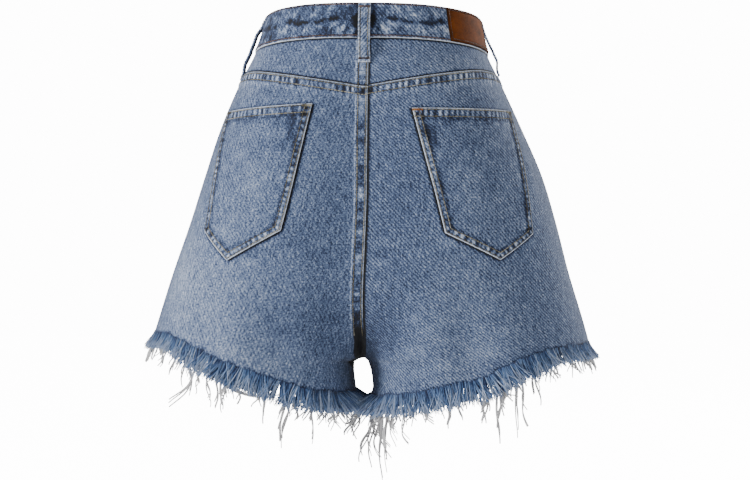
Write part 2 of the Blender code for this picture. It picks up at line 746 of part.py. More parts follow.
def make_fringe(side, name):
    """Frayed hem of one leg: a narrow strip just below the cloth with a strand on each segment."""
    places = hem_places(side)
    bm = bmesh.new()
    bmesh.ops.create_cone(bm, cap_ends=False, segments=STRANDS_PER_LEG, radius1=1.0, radius2=1.0, depth=2.0)
    fall = []
    for index, (centre, outward) in enumerate(places):
        along = places[(index + 1) % STRANDS_PER_LEG][0] - places[index - 1][0]
        down = along.cross(outward).normalized()
        fall.append(down if down.z < 0.0 else -down)
    for vert in bm.verts:
        index = round(math.atan2(vert.co.y, vert.co.x) / (2 * math.pi) * STRANDS_PER_LEG) % STRANDS_PER_LEG
        centre, outward = places[index]
        vert.co = centre - outward * 0.1 + fall[index] * (0.0 if vert.co.z > 0.0 else STRIP_HEIGHT)
    bmesh.ops.recalc_face_normals(bm, faces=bm.faces)
    inner = bmesh.ops.solidify(bm, geom=bm.faces[:], thickness=STRIP_WALL)
    bmesh.ops.recalc_face_normals(bm, faces=bm.faces)
    grow_strands(bm, side, places, fall)
    return add_object(name, bm, FRINGE)


def grow_strands(bm, side, places, fall):
    """Draw a tapering strand out of each lower face of the strip: short locks and long threads."""
    lengths = strand_lengths(side, places)
    bm.normal_update()
    centres = [centre for centre, _ in places]
    for face in list(bm.faces):
        middle = face.calc_center_median()
        index = min(range(len(centres)), key=lambda item: (centres[item] - middle).length_squared)
        if face.normal.dot(fall[index]) < 0.8:
            continue
        after = (index + 1) % len(centres)
        before = index - 1
        to_after = (centres[after] - middle).length_squared
        to_before = (centres[before] - middle).length_squared
        segment = index if to_after < to_before else before % len(centres)
        length = lengths[segment]
        wander = math.sin(5.1 * segment)
        outward = places[segment][1]
        way = (fall[segment] + outward * 0.22).normalized()
        along = (centres[after] - centres[before]).normalized()
        short = min(length, STRAND_LENGTH)
        steps = [(0.5 * short, 0.86), (0.5 * short, 0.5)]
        if length > short + 4.0:
            rest = length - short
            count = 2 if rest < 45.0 else 3
            steps = [(0.4 * short, 0.5), (0.6 * short, 0.5)] + [(rest / count, 0.85)] * count
        tip = face
        for number, (reach, taper) in enumerate(steps):
            made = bmesh.ops.extrude_discrete_faces(bm, faces=[tip])
            tip = made["faces"][0]
            if number >= 2:
                way = (way + Vector((0.0, 0.0, -1.2))).normalized()
            lean = along * (0.08 * wander * reach if number < 2 else 0.14 * wander * reach)
            centre = tip.calc_center_median()
            for vert in tip.verts:
                vert.co = centre + (vert.co - centre) * taper + way * reach + lean
            # Strands keep to their own leg's side
            nearest = min(side * (vert.co.x - SWAY) for vert in tip.verts)
            for vert in tip.verts:
                vert.co.x += side * max(0.5 - nearest, 0.0)


clear_scene()
SHORTS = collection("denim_shorts")
DENIM = material("denim", HEX_DENIM, 0.85)
LEATHER = material("leather", HEX_LEATHER, 0.55)
BRASS = material("brass", HEX_BRASS, 0.35, metallic=1.0)
FRINGE = material("cotton_fringe", HEX_FRINGE, 0.9)

make_waistband()
make_yokes()
make_back_panels()
make_front_panels()
make_pocket(LEFT, "back_pocket_left")
make_pocket(RIGHT, "back_pocket_right")
for loop_name in LOOPS:
    make_loop(loop_name)
make_patch()
make_fly()
make_button()
make_fringe(LEFT, "hem_fringe_left")
make_fringe(RIGHT, "hem_fringe_right")
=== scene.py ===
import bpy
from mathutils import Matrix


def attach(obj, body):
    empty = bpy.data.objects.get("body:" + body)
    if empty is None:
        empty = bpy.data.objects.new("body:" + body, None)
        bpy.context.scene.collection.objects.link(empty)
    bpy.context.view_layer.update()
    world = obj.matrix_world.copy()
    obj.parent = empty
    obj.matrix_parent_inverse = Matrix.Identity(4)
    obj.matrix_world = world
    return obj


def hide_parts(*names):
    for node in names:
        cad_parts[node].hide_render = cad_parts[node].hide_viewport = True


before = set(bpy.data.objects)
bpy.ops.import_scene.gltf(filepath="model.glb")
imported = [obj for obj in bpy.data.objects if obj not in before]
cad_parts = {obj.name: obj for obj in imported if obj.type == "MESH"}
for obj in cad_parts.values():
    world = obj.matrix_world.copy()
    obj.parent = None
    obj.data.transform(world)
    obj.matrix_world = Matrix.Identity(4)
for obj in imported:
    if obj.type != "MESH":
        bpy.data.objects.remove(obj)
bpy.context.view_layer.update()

import math

import bmesh
import bpy
import numpy as np
from mathutils import Vector

# Looks of the cut-off denim shorts: washed denim shells with stitched and puckered seams, a leather
# patch, brass and a frayed hem, laid on the same surface as the solids.
#
# A place on the cloth is named by side (+1 left, -1 right), face (+1 back, -1 front), dist, the
# distance along the cloth from the centre line, and z, the height. Lengths are millimetres until a
# mesh is made, where MM turns them into metres.

MM = 0.001
LEFT, RIGHT = 1, -1
BACK, FRONT = 1, -1
SIDE_NAMES = {LEFT: "left", RIGHT: "right"}
FACE_NAMES = {BACK: "back", FRONT: "front"}

# ---------------------------------------------------------------- sizes of the garment
GAP = 0.3                # clear space between pieces in the solids
SEAM_GAP = 0.05          # what is left of it where two shells meet
WALL = 1.5
BAND_WALL = 3.0
BAND_PROUD = 1.2
POCKET_WALL = 1.3
LOOP_WALL = 2.0
PATCH_WALL = 1.6
FELL_RAISE = 0.8         # how far a felled seam stands proud
FELL_HALF = 5.7          # half the width of the felled seam at the centre back
FELL_HEIGHT = 10.5       # height of the felled seam under the yoke

BAND_HALF = 18.2
WAIST_TILT = math.tan(math.radians(7.0))
WAIST_ROLL = math.tan(math.radians(0.5))

CROTCH_Z = -335.0
CROTCH_Y = 5.0
CROTCH_GAP, CROTCH_GAP_REACH = 0.45, 10.0  # extra space where four panels come together
RISE_CURVE = {BACK: 88.0, FRONT: 74.0}  # height over which the rise seam curves out of the crotch
VALLEY_POWER = 1.5       # how much narrower the valley beside it is at the crotch
LEG_BLEND = 24.0         # height below the crotch over which the legs get their own corners
SWAY = 6.5               # the legs hang a little to the left
SWAY_TOP, SWAY_SPAN = -150.0, 180.0
SIDE_ROUNDNESS = 2.15    # powers of the superellipses at the side and inside a leg
LEG_ROUNDNESS = 2.3
CORNER_SHARE = 0.75
SPINE_SHARE = 0.36       # share of a panel's columns between the centre and the spine
SAMPLES = 90             # points of a section on either side of the spine
LEVEL_STEP, CROTCH_STEP = 2.5, 0.5  # steps between sections, finer round the crotch
PROBE = 2.0              # distance over which the surface's direction is read
TOP_GUESS, HEM_GUESS = -50.0, -340.0  # heights where the search for a panel's edges starts
SETTLE_STEPS, BAND_STEPS = 12, 4

SECTION_COLUMNS = ("z", "left", "right", "back", "front", "spine")
SECTIONS = (
    (-400, 250, 246, 104, 92, 116),
    (-345, 239, 235, 109, 95, 104),
    (-296, 224, 222, 114, 96, 82),
    (-246, 208, 207, 118, 97, 68),
    (-195, 190, 194, 119, 98, 62),
    (-145, 174, 179, 116, 98, 55),
    (-94, 157, 157, 109, 96, 42),
    (-44, 135.5, 134, 98, 91, 24),
    (-19, 122.5, 122, 92, 87, 14),
    (15, 110.8, 113.5, 88, 83, 10),
    (50, 105.5, 108, 84, 80, 8),
)
HOLLOW_COLUMNS = ("z", "back", "front")
HOLLOW = ((-335, 8, 3), (-246, 7, 1), (-145, 4, 0), (-57, 1, 0), (50, 0, 0))
INNER_LEG_COLUMNS = ("z", "left", "right")
INNER_LEG = ((-410, 4.0, 3.8), (-380, 4.0, 3.8), (-375, 5.0, 4.8), (-369, 8.6, 8.6), (-358, 10.6, 9.2),
             (-346, 10.9, 6.4), (-340, 10.5, 4.3), (-335, 10.0, 3.2))
LEGS_PART, LEGS_PARTING = -335.6, 1.3  # height where the legs part, and how soon they are apart
FLUTE_COLUMNS = ("side", "face", "top_x", "top_z", "hem_x", "width", "height")
FLUTES = (
    (LEFT, BACK, 112, -238, 132, 26, 4.0),
    (LEFT, BACK, 70, -262, 76, 20, -3.0),
    (RIGHT, BACK, 70, -240, 82, 22, 3.5),
    (RIGHT, BACK, 108, -250, 118, 18, -2.5),
    (RIGHT, BACK, 142, -236, 162, 24, 3.5),
    (LEFT, FRONT, 84, -236, 100, 26, 3.5),
    (LEFT, FRONT, 140, -254, 160, 22, -2.5),
    (RIGHT, FRONT, 96, -230, 112, 28, 3.5),
    (RIGHT, FRONT, 52, -262, 60, 20, -2.5),
)
FLUTE_GROWTH = 70.0      # height over which a flute grows
FLUTE_RUN = 100.0        # height over which it moves from top_x to hem_x
YOKE_SEAM_COLUMNS = ("share", "z")
YOKE_SEAM = ((0.0, -57.0), (0.2, -50.5), (0.42, -44.0), (0.68, -38.6), (1.0, -41.0))
HEM_COLUMNS = ("x", "left", "right")
HEM = (
    (4, -373.0, -374.0),
    (60, -363.0, -366.0),
    (108, -347.0, -352.5),
    (150, -332.0, -337.5),
    (184, -317.0, -325.0),
    (206, -309.5, -321.0),
    (232, -310.0, -320.0),
)
FRONT_HEM_LIFT = 7.0
SCALLOP, SCALLOP_LENGTH = 1.7, 19.0    # the cut edge runs in small steps
HEM_DIP, HEM_DIP_AT, HEM_DIP_REACH = 4.6, 121.0, 17.0  # where the right back hem was cut a little lower

POCKETS = {
    LEFT: {"top_in": (50.0, -74.6), "top_out": (168.0, -80.0), "low_in": (79.4, -202.6),
           "tip": (135.8, -232.8), "low_out": (171.5, -202.9)},
    RIGHT: {"top_in": (50.8, -79.6), "top_out": (176.0, -80.0), "low_in": (86.6, -205.1),
            "tip": (144.7, -232.1), "low_out": (184.6, -206.0)},
}
POCKET_HEM = 10.0
POCKET_BORDER = 7.0
POCKET_FINE = [step / 118.0 for step in (0.0, 0.4, 0.9, 1.6, 2.4)]  # its grid is finer at the edges

LOOP_WIDTH = 12.6
LOOP_INSET = 0.6         # how far its top lies below the waistband's fold
LOOP_ROWS = (3, 9)       # steps across it that carry the stitch rows
LOOP_TACKS = (4, -5)     # rows down it that carry the bartacks
LOOP_STEPS = (-1.0, -0.93, -0.82, -0.66, -0.45, -0.22, 0.0, 0.22, 0.45, 0.66, 0.82, 0.93, 1.0)
LOOP_COLUMNS = ("side", "face", "dist", "flare", "slack", "drop", "furthest")
LOOPS = {
    "belt_loop_back": (RIGHT, BACK, 1.5, 0.0, 5.6, 43.5, 0.36),
    "belt_loop_side_left": (LEFT, BACK, 165.0, 1.0, 4.0, 46.0, 0.3),
    "belt_loop_side_right": (RIGHT, BACK, 170.0, 1.0, 4.8, 40.0, 0.72),
    "belt_loop_front_left": (LEFT, FRONT, 66.0, 0.4, 2.6, 42.0, 0.36),
    "belt_loop_front_right": (RIGHT, FRONT, 66.0, 0.4, 2.6, 42.0, 0.36),
}
PATCH_START, PATCH_WIDTH = 90.0, 70.0
PATCH_HALF_HEIGHT = 17.6
PATCH_COLUMNS, PATCH_ROWS = 90, 46
FLY_BOTTOM = -160.0
FLY_WIDTH = 32.0
FLY_RAISE = 0.6
BAND_LAP = 9.0
BAND_UNDERLAP = 25.0
TOOTH_PITCH, TOOTH_RADIUS = 1.6, 0.5
BUTTON_RADIUS = 8.5
BUTTON_THICKNESS = 3.4

# ---------------------------------------------------------------- sizes of the sewing, the wear and the painted light and shade
STITCH_LENGTH = 2.9
STITCH_SPACE = 0.55
THREAD_RADIUS = 0.52
# The shape of a stitch: places along it, and how far it stands above or dips into the cloth
STITCH_SHARES, STITCH_SINK = (-0.5, -0.4, 0.0, 0.4, 0.5), (-0.55, 0.1, 0.3, 0.1, -0.55)
TACK_SINK = (-0.3, 0.2, 0.35, 0.2, -0.3)
LOOP_STITCH, PATCH_STITCH = 2.2, 2.4
STITCH_LIFT, FINE_LIFT = 0.12, 0.05  # how far thread stands off the cloth, and off small pieces
FELL_ROWS = (1.9, 8.6)           # stitch rows below the folded edge of the yoke seam
SEAT_ROWS = (1.7, 9.8)           # the same beside the folded edge of the seat seam
POCKET_ROWS = (1.6, 6.3)
POCKET_HEM_ROWS = (1.7, 8.8)
BAND_ROW = 2.4
PUCKER_LENGTH = 6.2              # puckers along a stitched seam
ABRASION = 0.75                  # width of the white line worn into a folded edge
SHADOW, SHADOW_WIDTH = 1.9, 2.1  # painted shadow beside the folded edge of the seat seam

# Soft creases: a ridge or a trough from one place to another
CREASE_COLUMNS = ("side", "face", "dist", "z", "to_dist", "to_z", "width", "height")
CREASES = (
    (LEFT, BACK, 18, -318, 66, -292, 9, -0.6),
    (LEFT, BACK, 26, -304, 84, -270, 12, 0.5),
    (LEFT, BACK, 36, -338, 118, -330, 9, -0.5),
    (LEFT, BACK, 150, -236, 176, -262, 9, -0.8),
    (LEFT, BACK, 44, -248, 70, -256, 10, 0.5),
    (LEFT, BACK, 104, -62, 148, -58, 5, -0.6),
    (LEFT, BACK, 92, -66, 140, -70, 7, 0.6),
    (LEFT, BACK, 112, -26, 142, -22, 4, 0.5),
    (RIGHT, BACK, 16, -314, 58, -286, 9, -0.7),
    (RIGHT, BACK, 24, -300, 76, -262, 12, 0.5),
    (RIGHT, BACK, 44, -342, 104, -330, 9, -0.4),
    (RIGHT, BACK, 128, -244, 150, -262, 8, -0.7),
    (RIGHT, BACK, 40, -226, 78, -240, 12, 0.6),
    (RIGHT, BACK, 92, -28, 138, -34, 5, -0.7),
    (RIGHT, BACK, 104, -60, 150, -64, 7, 0.7),
    (RIGHT, BACK, 182, -112, 196, -176, 8, 0.9),
    (LEFT, FRONT, 8, -252, 96, -214, 8, -1.4),
    (LEFT, FRONT, 12, -270, 118, -240, 9, 1.2),
    (LEFT, FRONT, 14, -296, 104, -276, 8, -1.1),
    (LEFT, FRONT, 20, -318, 78, -312, 7, 0.9),
    (LEFT, FRONT, 110, -176, 168, -158, 10, -0.8),
    (RIGHT, FRONT, 10, -246, 88, -204, 8, -1.3),
    (RIGHT, FRONT, 12, -264, 126, -230, 10, 1.2),
    (RIGHT, FRONT, 16, -290, 92, -268, 8, -1.1),
    (RIGHT, FRONT, 22, -316, 84, -306, 7, 0.9),
    (RIGHT, FRONT, 102, -168, 160, -146, 10, -0.8),
)
CREASE_BOW, CREASE_PAST = 0.06, 0.15  # how far a crease bows, and runs past its ends, as shares
# The fold between the two sides of the seat, above the crotch
SEAT_FOLD_TOP, SEAT_FOLD_WIDTH, SEAT_FOLD_DEPTH = -288.0, 5.5, 4.0
# How far its painted shade reaches from the centre line, and where the seam's pale edge runs in it
FOLD_COLUMNS = ("z", "left", "right", "line")
FOLD_REACH = ((-420, 6.0, 5.0, 3.0), (-345, 7.0, 6.0, 3.0), (-336, 26.0, 16.0, 3.0), (-333, 19.5, 13.5, 3.0),
              (-330, 14.5, 12.0, 3.2), (-324, 9.0, 10.0, 3.4), (-318, 5.0, 9.2, 3.8), (-312, 4.4, 8.6, 4.8),
              (-300, 4.2, 8.2, 6.0), (-280, 4.0, 7.8, 6.6))

# The wash, with painted light and shade: broad soft patches, lighter above 0 and darker below it. On the
# back some are painted light on the left leg, which faces the light, and painted shade towards the crotch
WASH_AND_PAINTED_LIGHT_COLUMNS = ("side", "face", "dist", "z", "wide", "high", "wear_and_shade")
WASH_AND_PAINTED_LIGHT = (
    (LEFT, BACK, 150, -300, 52, 95, 0.20),
    (LEFT, BACK, 118, -150, 44, 60, 0.10),
    (LEFT, BACK, 150, -30, 40, 30, 0.16),
    (LEFT, BACK, 30, -330, 66, 66, -0.08),
    (LEFT, BACK, 205, -250, 30, 90, 0.24),
    (RIGHT, BACK, 36, -335, 34, 54, -0.22),
    (RIGHT, BACK, 90, -40, 70, 22, 0.15),
    (RIGHT, BACK, 44, -220, 40, 60, -0.05),
    (LEFT, BACK, 34, -160, 40, 110, -0.06),
    (RIGHT, BACK, 80, -330, 18, 62, 0.10),
    (RIGHT, BACK, 118, -300, 34, 60, 0.05),
    (RIGHT, BACK, 158, -330, 26, 60, 0.10),
    (RIGHT, BACK, 128, -150, 46, 50, 0.06),
    (RIGHT, BACK, 40, -150, 30, 90, -0.10),
    (RIGHT, BACK, 18, -330, 20, 40, -0.12),
    (LEFT, FRONT, 96, -240, 52, 90, 0.24),
    (RIGHT, FRONT, 96, -240, 52, 90, 0.24),
    (LEFT, FRONT, 16, -300, 30, 50, -0.18),
    (RIGHT, FRONT, 16, -300, 30, 50, -0.18),
)

# Stitch rows of the fly from its folded edge, and beside the front seam below it
FLY_ROWS = (2.0, 8.5)
RISE_ROWS = (1.8, 7.6)
FLY_TURN = 26.0                  # height of the turn at the foot of the fly
BAND_TOP_ROW = 1.9
ROW_SINK = 0.3                   # how far a row is pulled into a felled seam
TACK_SPACING = 0.75
BAND_DARK = {LEFT: 0.16, RIGHT: -0.03}
# How dark the painted shadow is beside each edge of a pocket
POCKET_SHADOW_DEPTHS = (("top_out", "top_in", 0.5), ("top_in", "low_in", 1.6), ("low_in", "tip", 1.3),
                  ("tip", "low_out", 0.9), ("low_out", "top_out", 0.6))
# Grids of the panels: steps across and down, then widths of the finer edges at the centre, top and hem
PANEL_STEPS = {"yoke_": (2.0, 1.2, 14.0, 4.0, 4.0), "back_": (2.0, 2.1, 15.0, 17.0, 5.0),
               "front_": (2.8, 3.2, 12.0, 6.0, 5.0)}
FINE_ACROSS, FINE_DOWN, FINE_UP = 0.85, 0.8, 0.9
PANEL_LEVEL = -300.0             # height at which a panel's columns are counted
PANEL_SEEDS = {"yoke_": 31, "back_": 33, "front_": 35}
# Shifts that give each kind of piece its own place on the map of the cloth
PANEL_SHIFT, BAND_SHIFT, POCKET_SHIFT = 400.0, 900.0, 1500.0
LOOP_SHIFT, PATCH_SHIFT, FLY_SHIFT = 2000.0, 2500.0, 3000.0
BUTTON_PROFILE = (               # radius and height as shares
    (0.0, 0.84), (0.1, 0.83), (0.2, 0.74), (0.3, 0.68), (0.62, 0.68), (0.72, 0.78), (0.78, 0.95),
    (0.86, 1.0), (0.94, 0.97), (0.99, 0.86), (1.0, 0.7), (0.97, 0.52), (0.9, 0.4), (0.55, 0.3),
    (0.5, 0.0), (0.0, 0.0))

# ---------------------------------------------------------------- sizes of the frayed hem
HEM_SAMPLES = 420
# Layers of frayed yarn, from the dark yarns behind to the pale ones in front
LAYER_COLUMNS = ("spacing", "length", "uneven", "out", "radius", "root_tone", "tip_tone")
LAYERS = (
    (0.55, 20.0, 1.8, -1.2, 1.15, 0.02, 0.42),
    (0.60, 22.0, 2.4, -0.4, 0.62, 0.10, 0.62),
    (0.60, 23.2, 2.8, 0.4, 0.48, 0.18, 0.80),
    (1.30, 22.4, 3.8, 1.0, 0.42, 0.30, 0.98),
)
LOCK = 4.2               # width of a lock of yarns that cling together
FRINGE_RINGS, THREAD_RINGS = 5, 16
LEAN, CURL, TAPER = 0.19, 1.3, 0.42  # how uneven the yarns are, and how much thinner at the tip
FLARE, FLARE_STEP = 0.14, 0.06   # how far they stand out, and how much more in each layer
TANGLE, TANGLE_REACH = 1.25, 13.0  # beside the gap between the legs
# Towards the side seams the fringe gets shorter
SIDE_SHORTER, SIDE_FROM, SIDE_REACH = 0.26, 165.0, 40.0
THREAD_DROP, SWAG_DROP = 11.0, 12.0  # how far below the hem edge loose yarns come out
THREAD_INSET = (1.8, 2.6)        # how far behind the edge
THREAD_RADII = (1.0, 1.5)        # thicker than real ones, so that they show against the white

# Long loose weft yarns: distance of the root from the centre plane, height of the lower end, how far
# it hangs aside, and how wavy it is
THREAD_COLUMNS = ("x", "low_z", "aside", "wave")
BACK_THREADS = {
    LEFT: (
        (206, -350, 8, 1.5), (196, -352, 6, 1.0), (184, -366, 3, 1.5), (179, -372, -3, 2.0),
        (168, -382, 26, 3.0), (163, -370, 10, 3.0), (158, -384, -2, 2.5), (146, -388, 1, 1.5),
        (143, -397, -2, 1.5), (138, -392, 4, 2.0), (130, -386, -8, 3.0), (99, -404, 0, 0.6),
        (80, -405, 4, 1.0), (78, -418, 8, 1.5), (74, -424, 9, 1.5), (70, -402, -3, 2.0),
        (53, -405, 0, 0.6), (52, -424, 0, 0.6), (42, -405, 2, 1.5), (36, -408, -4, 2.0),
        (31, -404, 3, 2.0), (26, -412, 3, 2.5), (20, -404, 8, 2.5), (18, -414, 3, 2.5),
        (12, -418, 5, 3.0), (8, -430, -2, 3.0), (5, -426, 8, 3.0)),
    RIGHT: (
        (3, -445, -9, 3.0), (5, -430, 6, 3.5), (7, -452, -6, 2.5), (9, -440, 3, 3.0),
        (12, -428, -6, 4.0), (14, -446, 2, 3.0), (17, -462, -2, 1.5), (20, -437, 3, 3.0),
        (22, -459, -1, 1.0), (26, -425, 3, 2.0), (30, -418, 3, 2.0), (38, -424, 6, 2.5),
        (46, -402, -3, 2.0), (58, -399, 7, 2.0), (62, -398, 7, 2.0), (86, -403, 2, 1.2),
        (90, -398, -2, 1.0), (98, -396, 2, 1.5), (119, -404, 2, 1.5), (123, -408, 1, 1.0),
        (126, -396, -3, 1.5), (136, -418, 2, 1.0), (140, -402, -2, 1.5), (146, -390, -4, 2.0),
        (156, -412, 0, 0.8), (160, -399, 5, 2.0), (174, -380, 6, 1.5)),
}
FRONT_THREADS = (
    (12, -424, 3, 2.0), (30, -412, -3, 2.5), (48, -398, 4, 1.5), (66, -406, 2, 2.0),
    (90, -404, -3, 1.5), (112, -388, 4, 2.0), (128, -392, 2, 1.0), (150, -380, 5, 2.0),
    (170, -386, -2, 1.5), (192, -366, 3, 1.0))
FRIZZ = 110              # short curly yarns under each hem
WISP = 3                 # yarns that hang together as one wisp
# Yarns caught at both ends: distances of the two ends from the centre plane, and the lowest height
SWAG_COLUMNS = ("x", "to_x", "low_z")
SWAGS = {
    LEFT: ((172, 82, -383), (165, 86, -380), (160, 96, -377), (34, 8, -404)),
    RIGHT: ((4, 16, -415), (24, 32, -404), (46, 52, -392)),
}


# ---------------------------------------------------------------- reading tables and noise
def entries(columns, table, **wanted):
    """Rows of a table by the names of its columns, only those that hold the wanted values."""
    for row in table:
        entry = dict(zip(columns, row))
        if all(entry[name] == value for name, value in wanted.items()):
            yield entry


def ease(value):
    """Rise smoothly from 0 to 1."""
    value = np.clip(value, 0.0, 1.0)
    return value * value * (3.0 - 2.0 * value)


def grow(value, start, width):
    """Rise smoothly from 0 at a start to 1 a width further on."""
    return ease((value - start) / width)


def bell(value):
    """A soft bump of height 1 round 0."""
    return np.exp(-np.square(value))


def ridge(value, middle, width):
    """A soft bump of height 1 round a middle."""
    return bell((value - middle) / width)


def unit(vectors, guard=0.0):
    """Vectors of length 1, with a guard for those that have no length."""
    return vectors / (np.linalg.norm(vectors, axis=-1, keepdims=True) + guard)


def walked(points):
    """Lengths walked along a line of points."""
    return np.concatenate(([0.0], np.cumsum(np.linalg.norm(np.diff(points, axis=0), axis=1))))


def read_along(spots, walk, values):
    """Read a line of points or directions at lengths walked along it."""
    return np.stack([np.interp(spots, walk, values[:, axis]) for axis in range(3)], axis=-1)


def reading(table, columns, name, place):
    """Read the named column of a table at places in its first column, along a smooth curve."""
    grid = np.array(table, dtype=float)
    stations, values = grid[:, 0], grid[:, columns.index(name)]
    slopes = np.gradient(values, stations)
    index = np.clip(np.searchsorted(stations, place) - 1, 0, len(stations) - 2)
    span = stations[index + 1] - stations[index]
    share = np.clip((place - stations[index]) / span, 0.0, 1.0)
    square = share * share
    cube = square * share
    return ((2 * cube - 3 * square + 1) * values[index] + (cube - 2 * square + share) * span * slopes[index]
            + (3 * square - 2 * cube) * values[index + 1] + (cube - square) * span * slopes[index + 1])


def mottle(across, up, seed):
    """Smooth uneven values from -1 to 1, one lattice cell to each unit."""
    across, up = np.broadcast_arrays(np.asarray(across, float), np.asarray(up, float))
    column, row = np.floor(across), np.floor(up)

    def corner(i, j):
        value = np.sin(i * 127.1 + j * 311.7 + seed * 74.7) * 43758.5453
        return 2.0 * (value - np.floor(value)) - 1.0

    x, y = ease(across - column), ease(up - row)
    low = corner(column, row) * (1 - x) + corner(column + 1, row) * x
    high = corner(column, row + 1) * (1 - x) + corner(column + 1, row + 1) * x
    return low * (1 - y) + high * y


def puckers(along, seed):
    """Uneven puckers along a stitched seam, from -1 to 1."""
    along = np.asarray(along, float)
    phase = along / PUCKER_LENGTH + 0.5 * mottle(along / 19.0, seed, 3) + 0.25 * mottle(along / 7.0, seed, 5)
    strength = 0.62 + 0.38 * mottle(along / 14.0, seed, 8)
    return np.sin(2 * math.pi * phase) * strength


# ---------------------------------------------------------------- the surface of the cloth
def flute_height(side, face, x, z):
    """Height of the soft flutes at distance x from the centre plane and height z."""
    total = np.zeros_like(x)
    for flute in entries(FLUTE_COLUMNS, FLUTES, side=side, face=face):
        fall = flute["top_z"] - z
        if fall > 0.0:
            line = flute["top_x"] + (flute["hem_x"] - flute["top_x"]) * fall / FLUTE_RUN
            total += flute["height"] * ease(fall / FLUTE_GROWTH) * ridge(x, line, flute["width"])
    return total


def half_section(side, face, z):
    """Points (x, y) of one quarter of the cloth at height z, from the centre to the side seam."""
    half = reading(SECTIONS, SECTION_COLUMNS, SIDE_NAMES[side], z)
    depth = reading(SECTIONS, SECTION_COLUMNS, FACE_NAMES[face], z)
    spine = reading(SECTIONS, SECTION_COLUMNS, "spine", z)
    hollow = reading(HOLLOW, HOLLOW_COLUMNS, FACE_NAMES[face], z)
    crotch = face * CROTCH_Y + CROTCH_GAP * math.exp(-((z - CROTCH_Z) / CROTCH_GAP_REACH) ** 2)

    # Centre to spine: in the trunk a valley whose floor is the rise seam, in a leg its inner corner
    climb = min(max((z - CROTCH_Z) / RISE_CURVE[face], 0.0), 1.0)
    rise = math.sqrt(1.0 - (1.0 - climb) ** 2)
    floor = crotch + (depth - hollow - crotch) * rise
    space = reading(INNER_LEG, INNER_LEG_COLUMNS, SIDE_NAMES[side], min(z, CROTCH_Z))
    space = space * ease((LEGS_PART - z) / LEGS_PARTING)
    share = np.linspace(1.0, 0.0, SAMPLES)
    drop = share ** (1.0 + VALLEY_POWER * (1.0 - rise))
    valley_x = spine - (spine - space) * share
    valley_y = depth - (depth - floor) * drop * drop * (3.0 - 2.0 * drop)
    turn = share * math.pi / 2.0
    power = 2.0 / LEG_ROUNDNESS
    corner_x = spine - (spine - space) * np.sin(turn) ** power
    corner_y = floor + (depth - floor) * np.maximum(np.cos(turn), 0.0) ** power
    corner = CORNER_SHARE * (1.0 - rise) + (1.0 - CORNER_SHARE) * ease((CROTCH_Z - z) / LEG_BLEND)
    inner_x = valley_x + (corner_x - valley_x) * corner
    inner_y = valley_y + (corner_y - valley_y) * corner

    # Spine to side seam
    turn = np.linspace(math.pi / 2.0, 0.0, SAMPLES)[1:]
    power = 2.0 / SIDE_ROUNDNESS
    outer_x = spine + (half - spine) * np.maximum(np.cos(turn), 0.0) ** power
    outer_y = depth * np.maximum(np.sin(turn), 0.0) ** power

    x = np.concatenate((inner_x, outer_x))
    y = np.concatenate((inner_y, outer_y))
    y += flute_height(side, face, x, z) * np.clip(y / depth, 0.0, 1.0)
    sway = SWAY * ease((SWAY_TOP - z) / SWAY_SPAN) * (1.0 - np.clip(x / half, 0.0, 1.0) ** 2)
    return side * x + sway, face * y


class Cloth:
    """The outer face of one quarter, read from sections spaced evenly along the cloth."""

    def __init__(self, side, face):
        self.levels = np.concatenate((np.arange(-470.0, -345.0, LEVEL_STEP),
                                      np.arange(-345.0, -330.0, CROTCH_STEP),
                                      np.arange(-330.0, 60.0, LEVEL_STEP)))
        rows, lengths, spines = [], [], []
        for z in self.levels:
            x, y = half_section(side, face, z)
            walk = np.concatenate(([0.0], np.cumsum(np.hypot(np.diff(x), np.diff(y)))))
            even = np.linspace(0.0, walk[-1], 2 * SAMPLES)
            rows.append(np.column_stack((np.interp(even, walk, x), np.interp(even, walk, y))))
            lengths.append(walk[-1])
            spines.append(walk[SAMPLES - 1])
        self.rows, self.lengths, self.spines = np.array(rows), np.array(lengths), np.array(spines)

    def length(self, z):
        """Length of the cloth from the centre line to the side seam at height z."""
        return np.interp(z, self.levels, self.lengths)

    def spread(self, share, z):
        """Distance along the cloth of a share that keeps its place on the form at every height."""
        spine = np.interp(z, self.levels, self.spines)
        inner = spine * share / SPINE_SHARE
        outer = spine + (self.length(z) - spine) * (share - SPINE_SHARE) / (1.0 - SPINE_SHARE)
        return np.where(share < SPINE_SHARE, inner, outer)

    def point(self, dist, z):
        """Points at distances along the cloth from the centre line."""
        row = np.interp(z, self.levels, np.arange(len(self.levels)))
        low = np.clip(np.floor(row), 0, len(self.levels) - 2).astype(int)
        part = (row - low)[..., None]
        column = np.clip(dist / self.length(z), 0.0, 1.0) * (2 * SAMPLES - 1)
        first = np.minimum(column, 2 * SAMPLES - 2).astype(int)
        across = (column - first)[..., None]
        near = self.rows[low, first] * (1 - across) + self.rows[low, first + 1] * across
        far = self.rows[low + 1, first] * (1 - across) + self.rows[low + 1, first + 1] * across
        return np.concatenate((near * (1 - part) + far * part, np.asarray(z, float)[..., None]), axis=-1)


QUARTERS = {(side, face): Cloth(side, face) for side in (LEFT, RIGHT) for face in (BACK, FRONT)}


def half_length(side, z):
    """Length of the cloth from the centre back round to the centre front."""
    return QUARTERS[side, BACK].length(z) + QUARTERS[side, FRONT].length(z)


def round_point(side, way, z):
    """Points a way round from the centre back.

    Past a centre line they are on the other side of the trunk, or further round the same leg.
    """
    way, z = np.broadcast_arrays(np.asarray(way, float), np.asarray(z, float))
    total = half_length(side, z)
    leg = z <= CROTCH_Z
    way = np.where(leg, way % total, way)
    other = ~leg & ((way < 0.0) | (way > total))
    way = np.where(other, np.where(way < 0.0, -way, half_length(-side, z) - (way - total)), way)
    points = np.zeros(way.shape + (3,))
    for owner, mine in ((side, ~other), (-side, other)):
        behind = way <= QUARTERS[owner, BACK].length(z)
        back, front = mine & behind, mine & ~behind
        points[back] = QUARTERS[owner, BACK].point(way[back], z[back])
        points[front] = QUARTERS[owner, FRONT].point(half_length(owner, z[front]) - way[front], z[front])
    return points


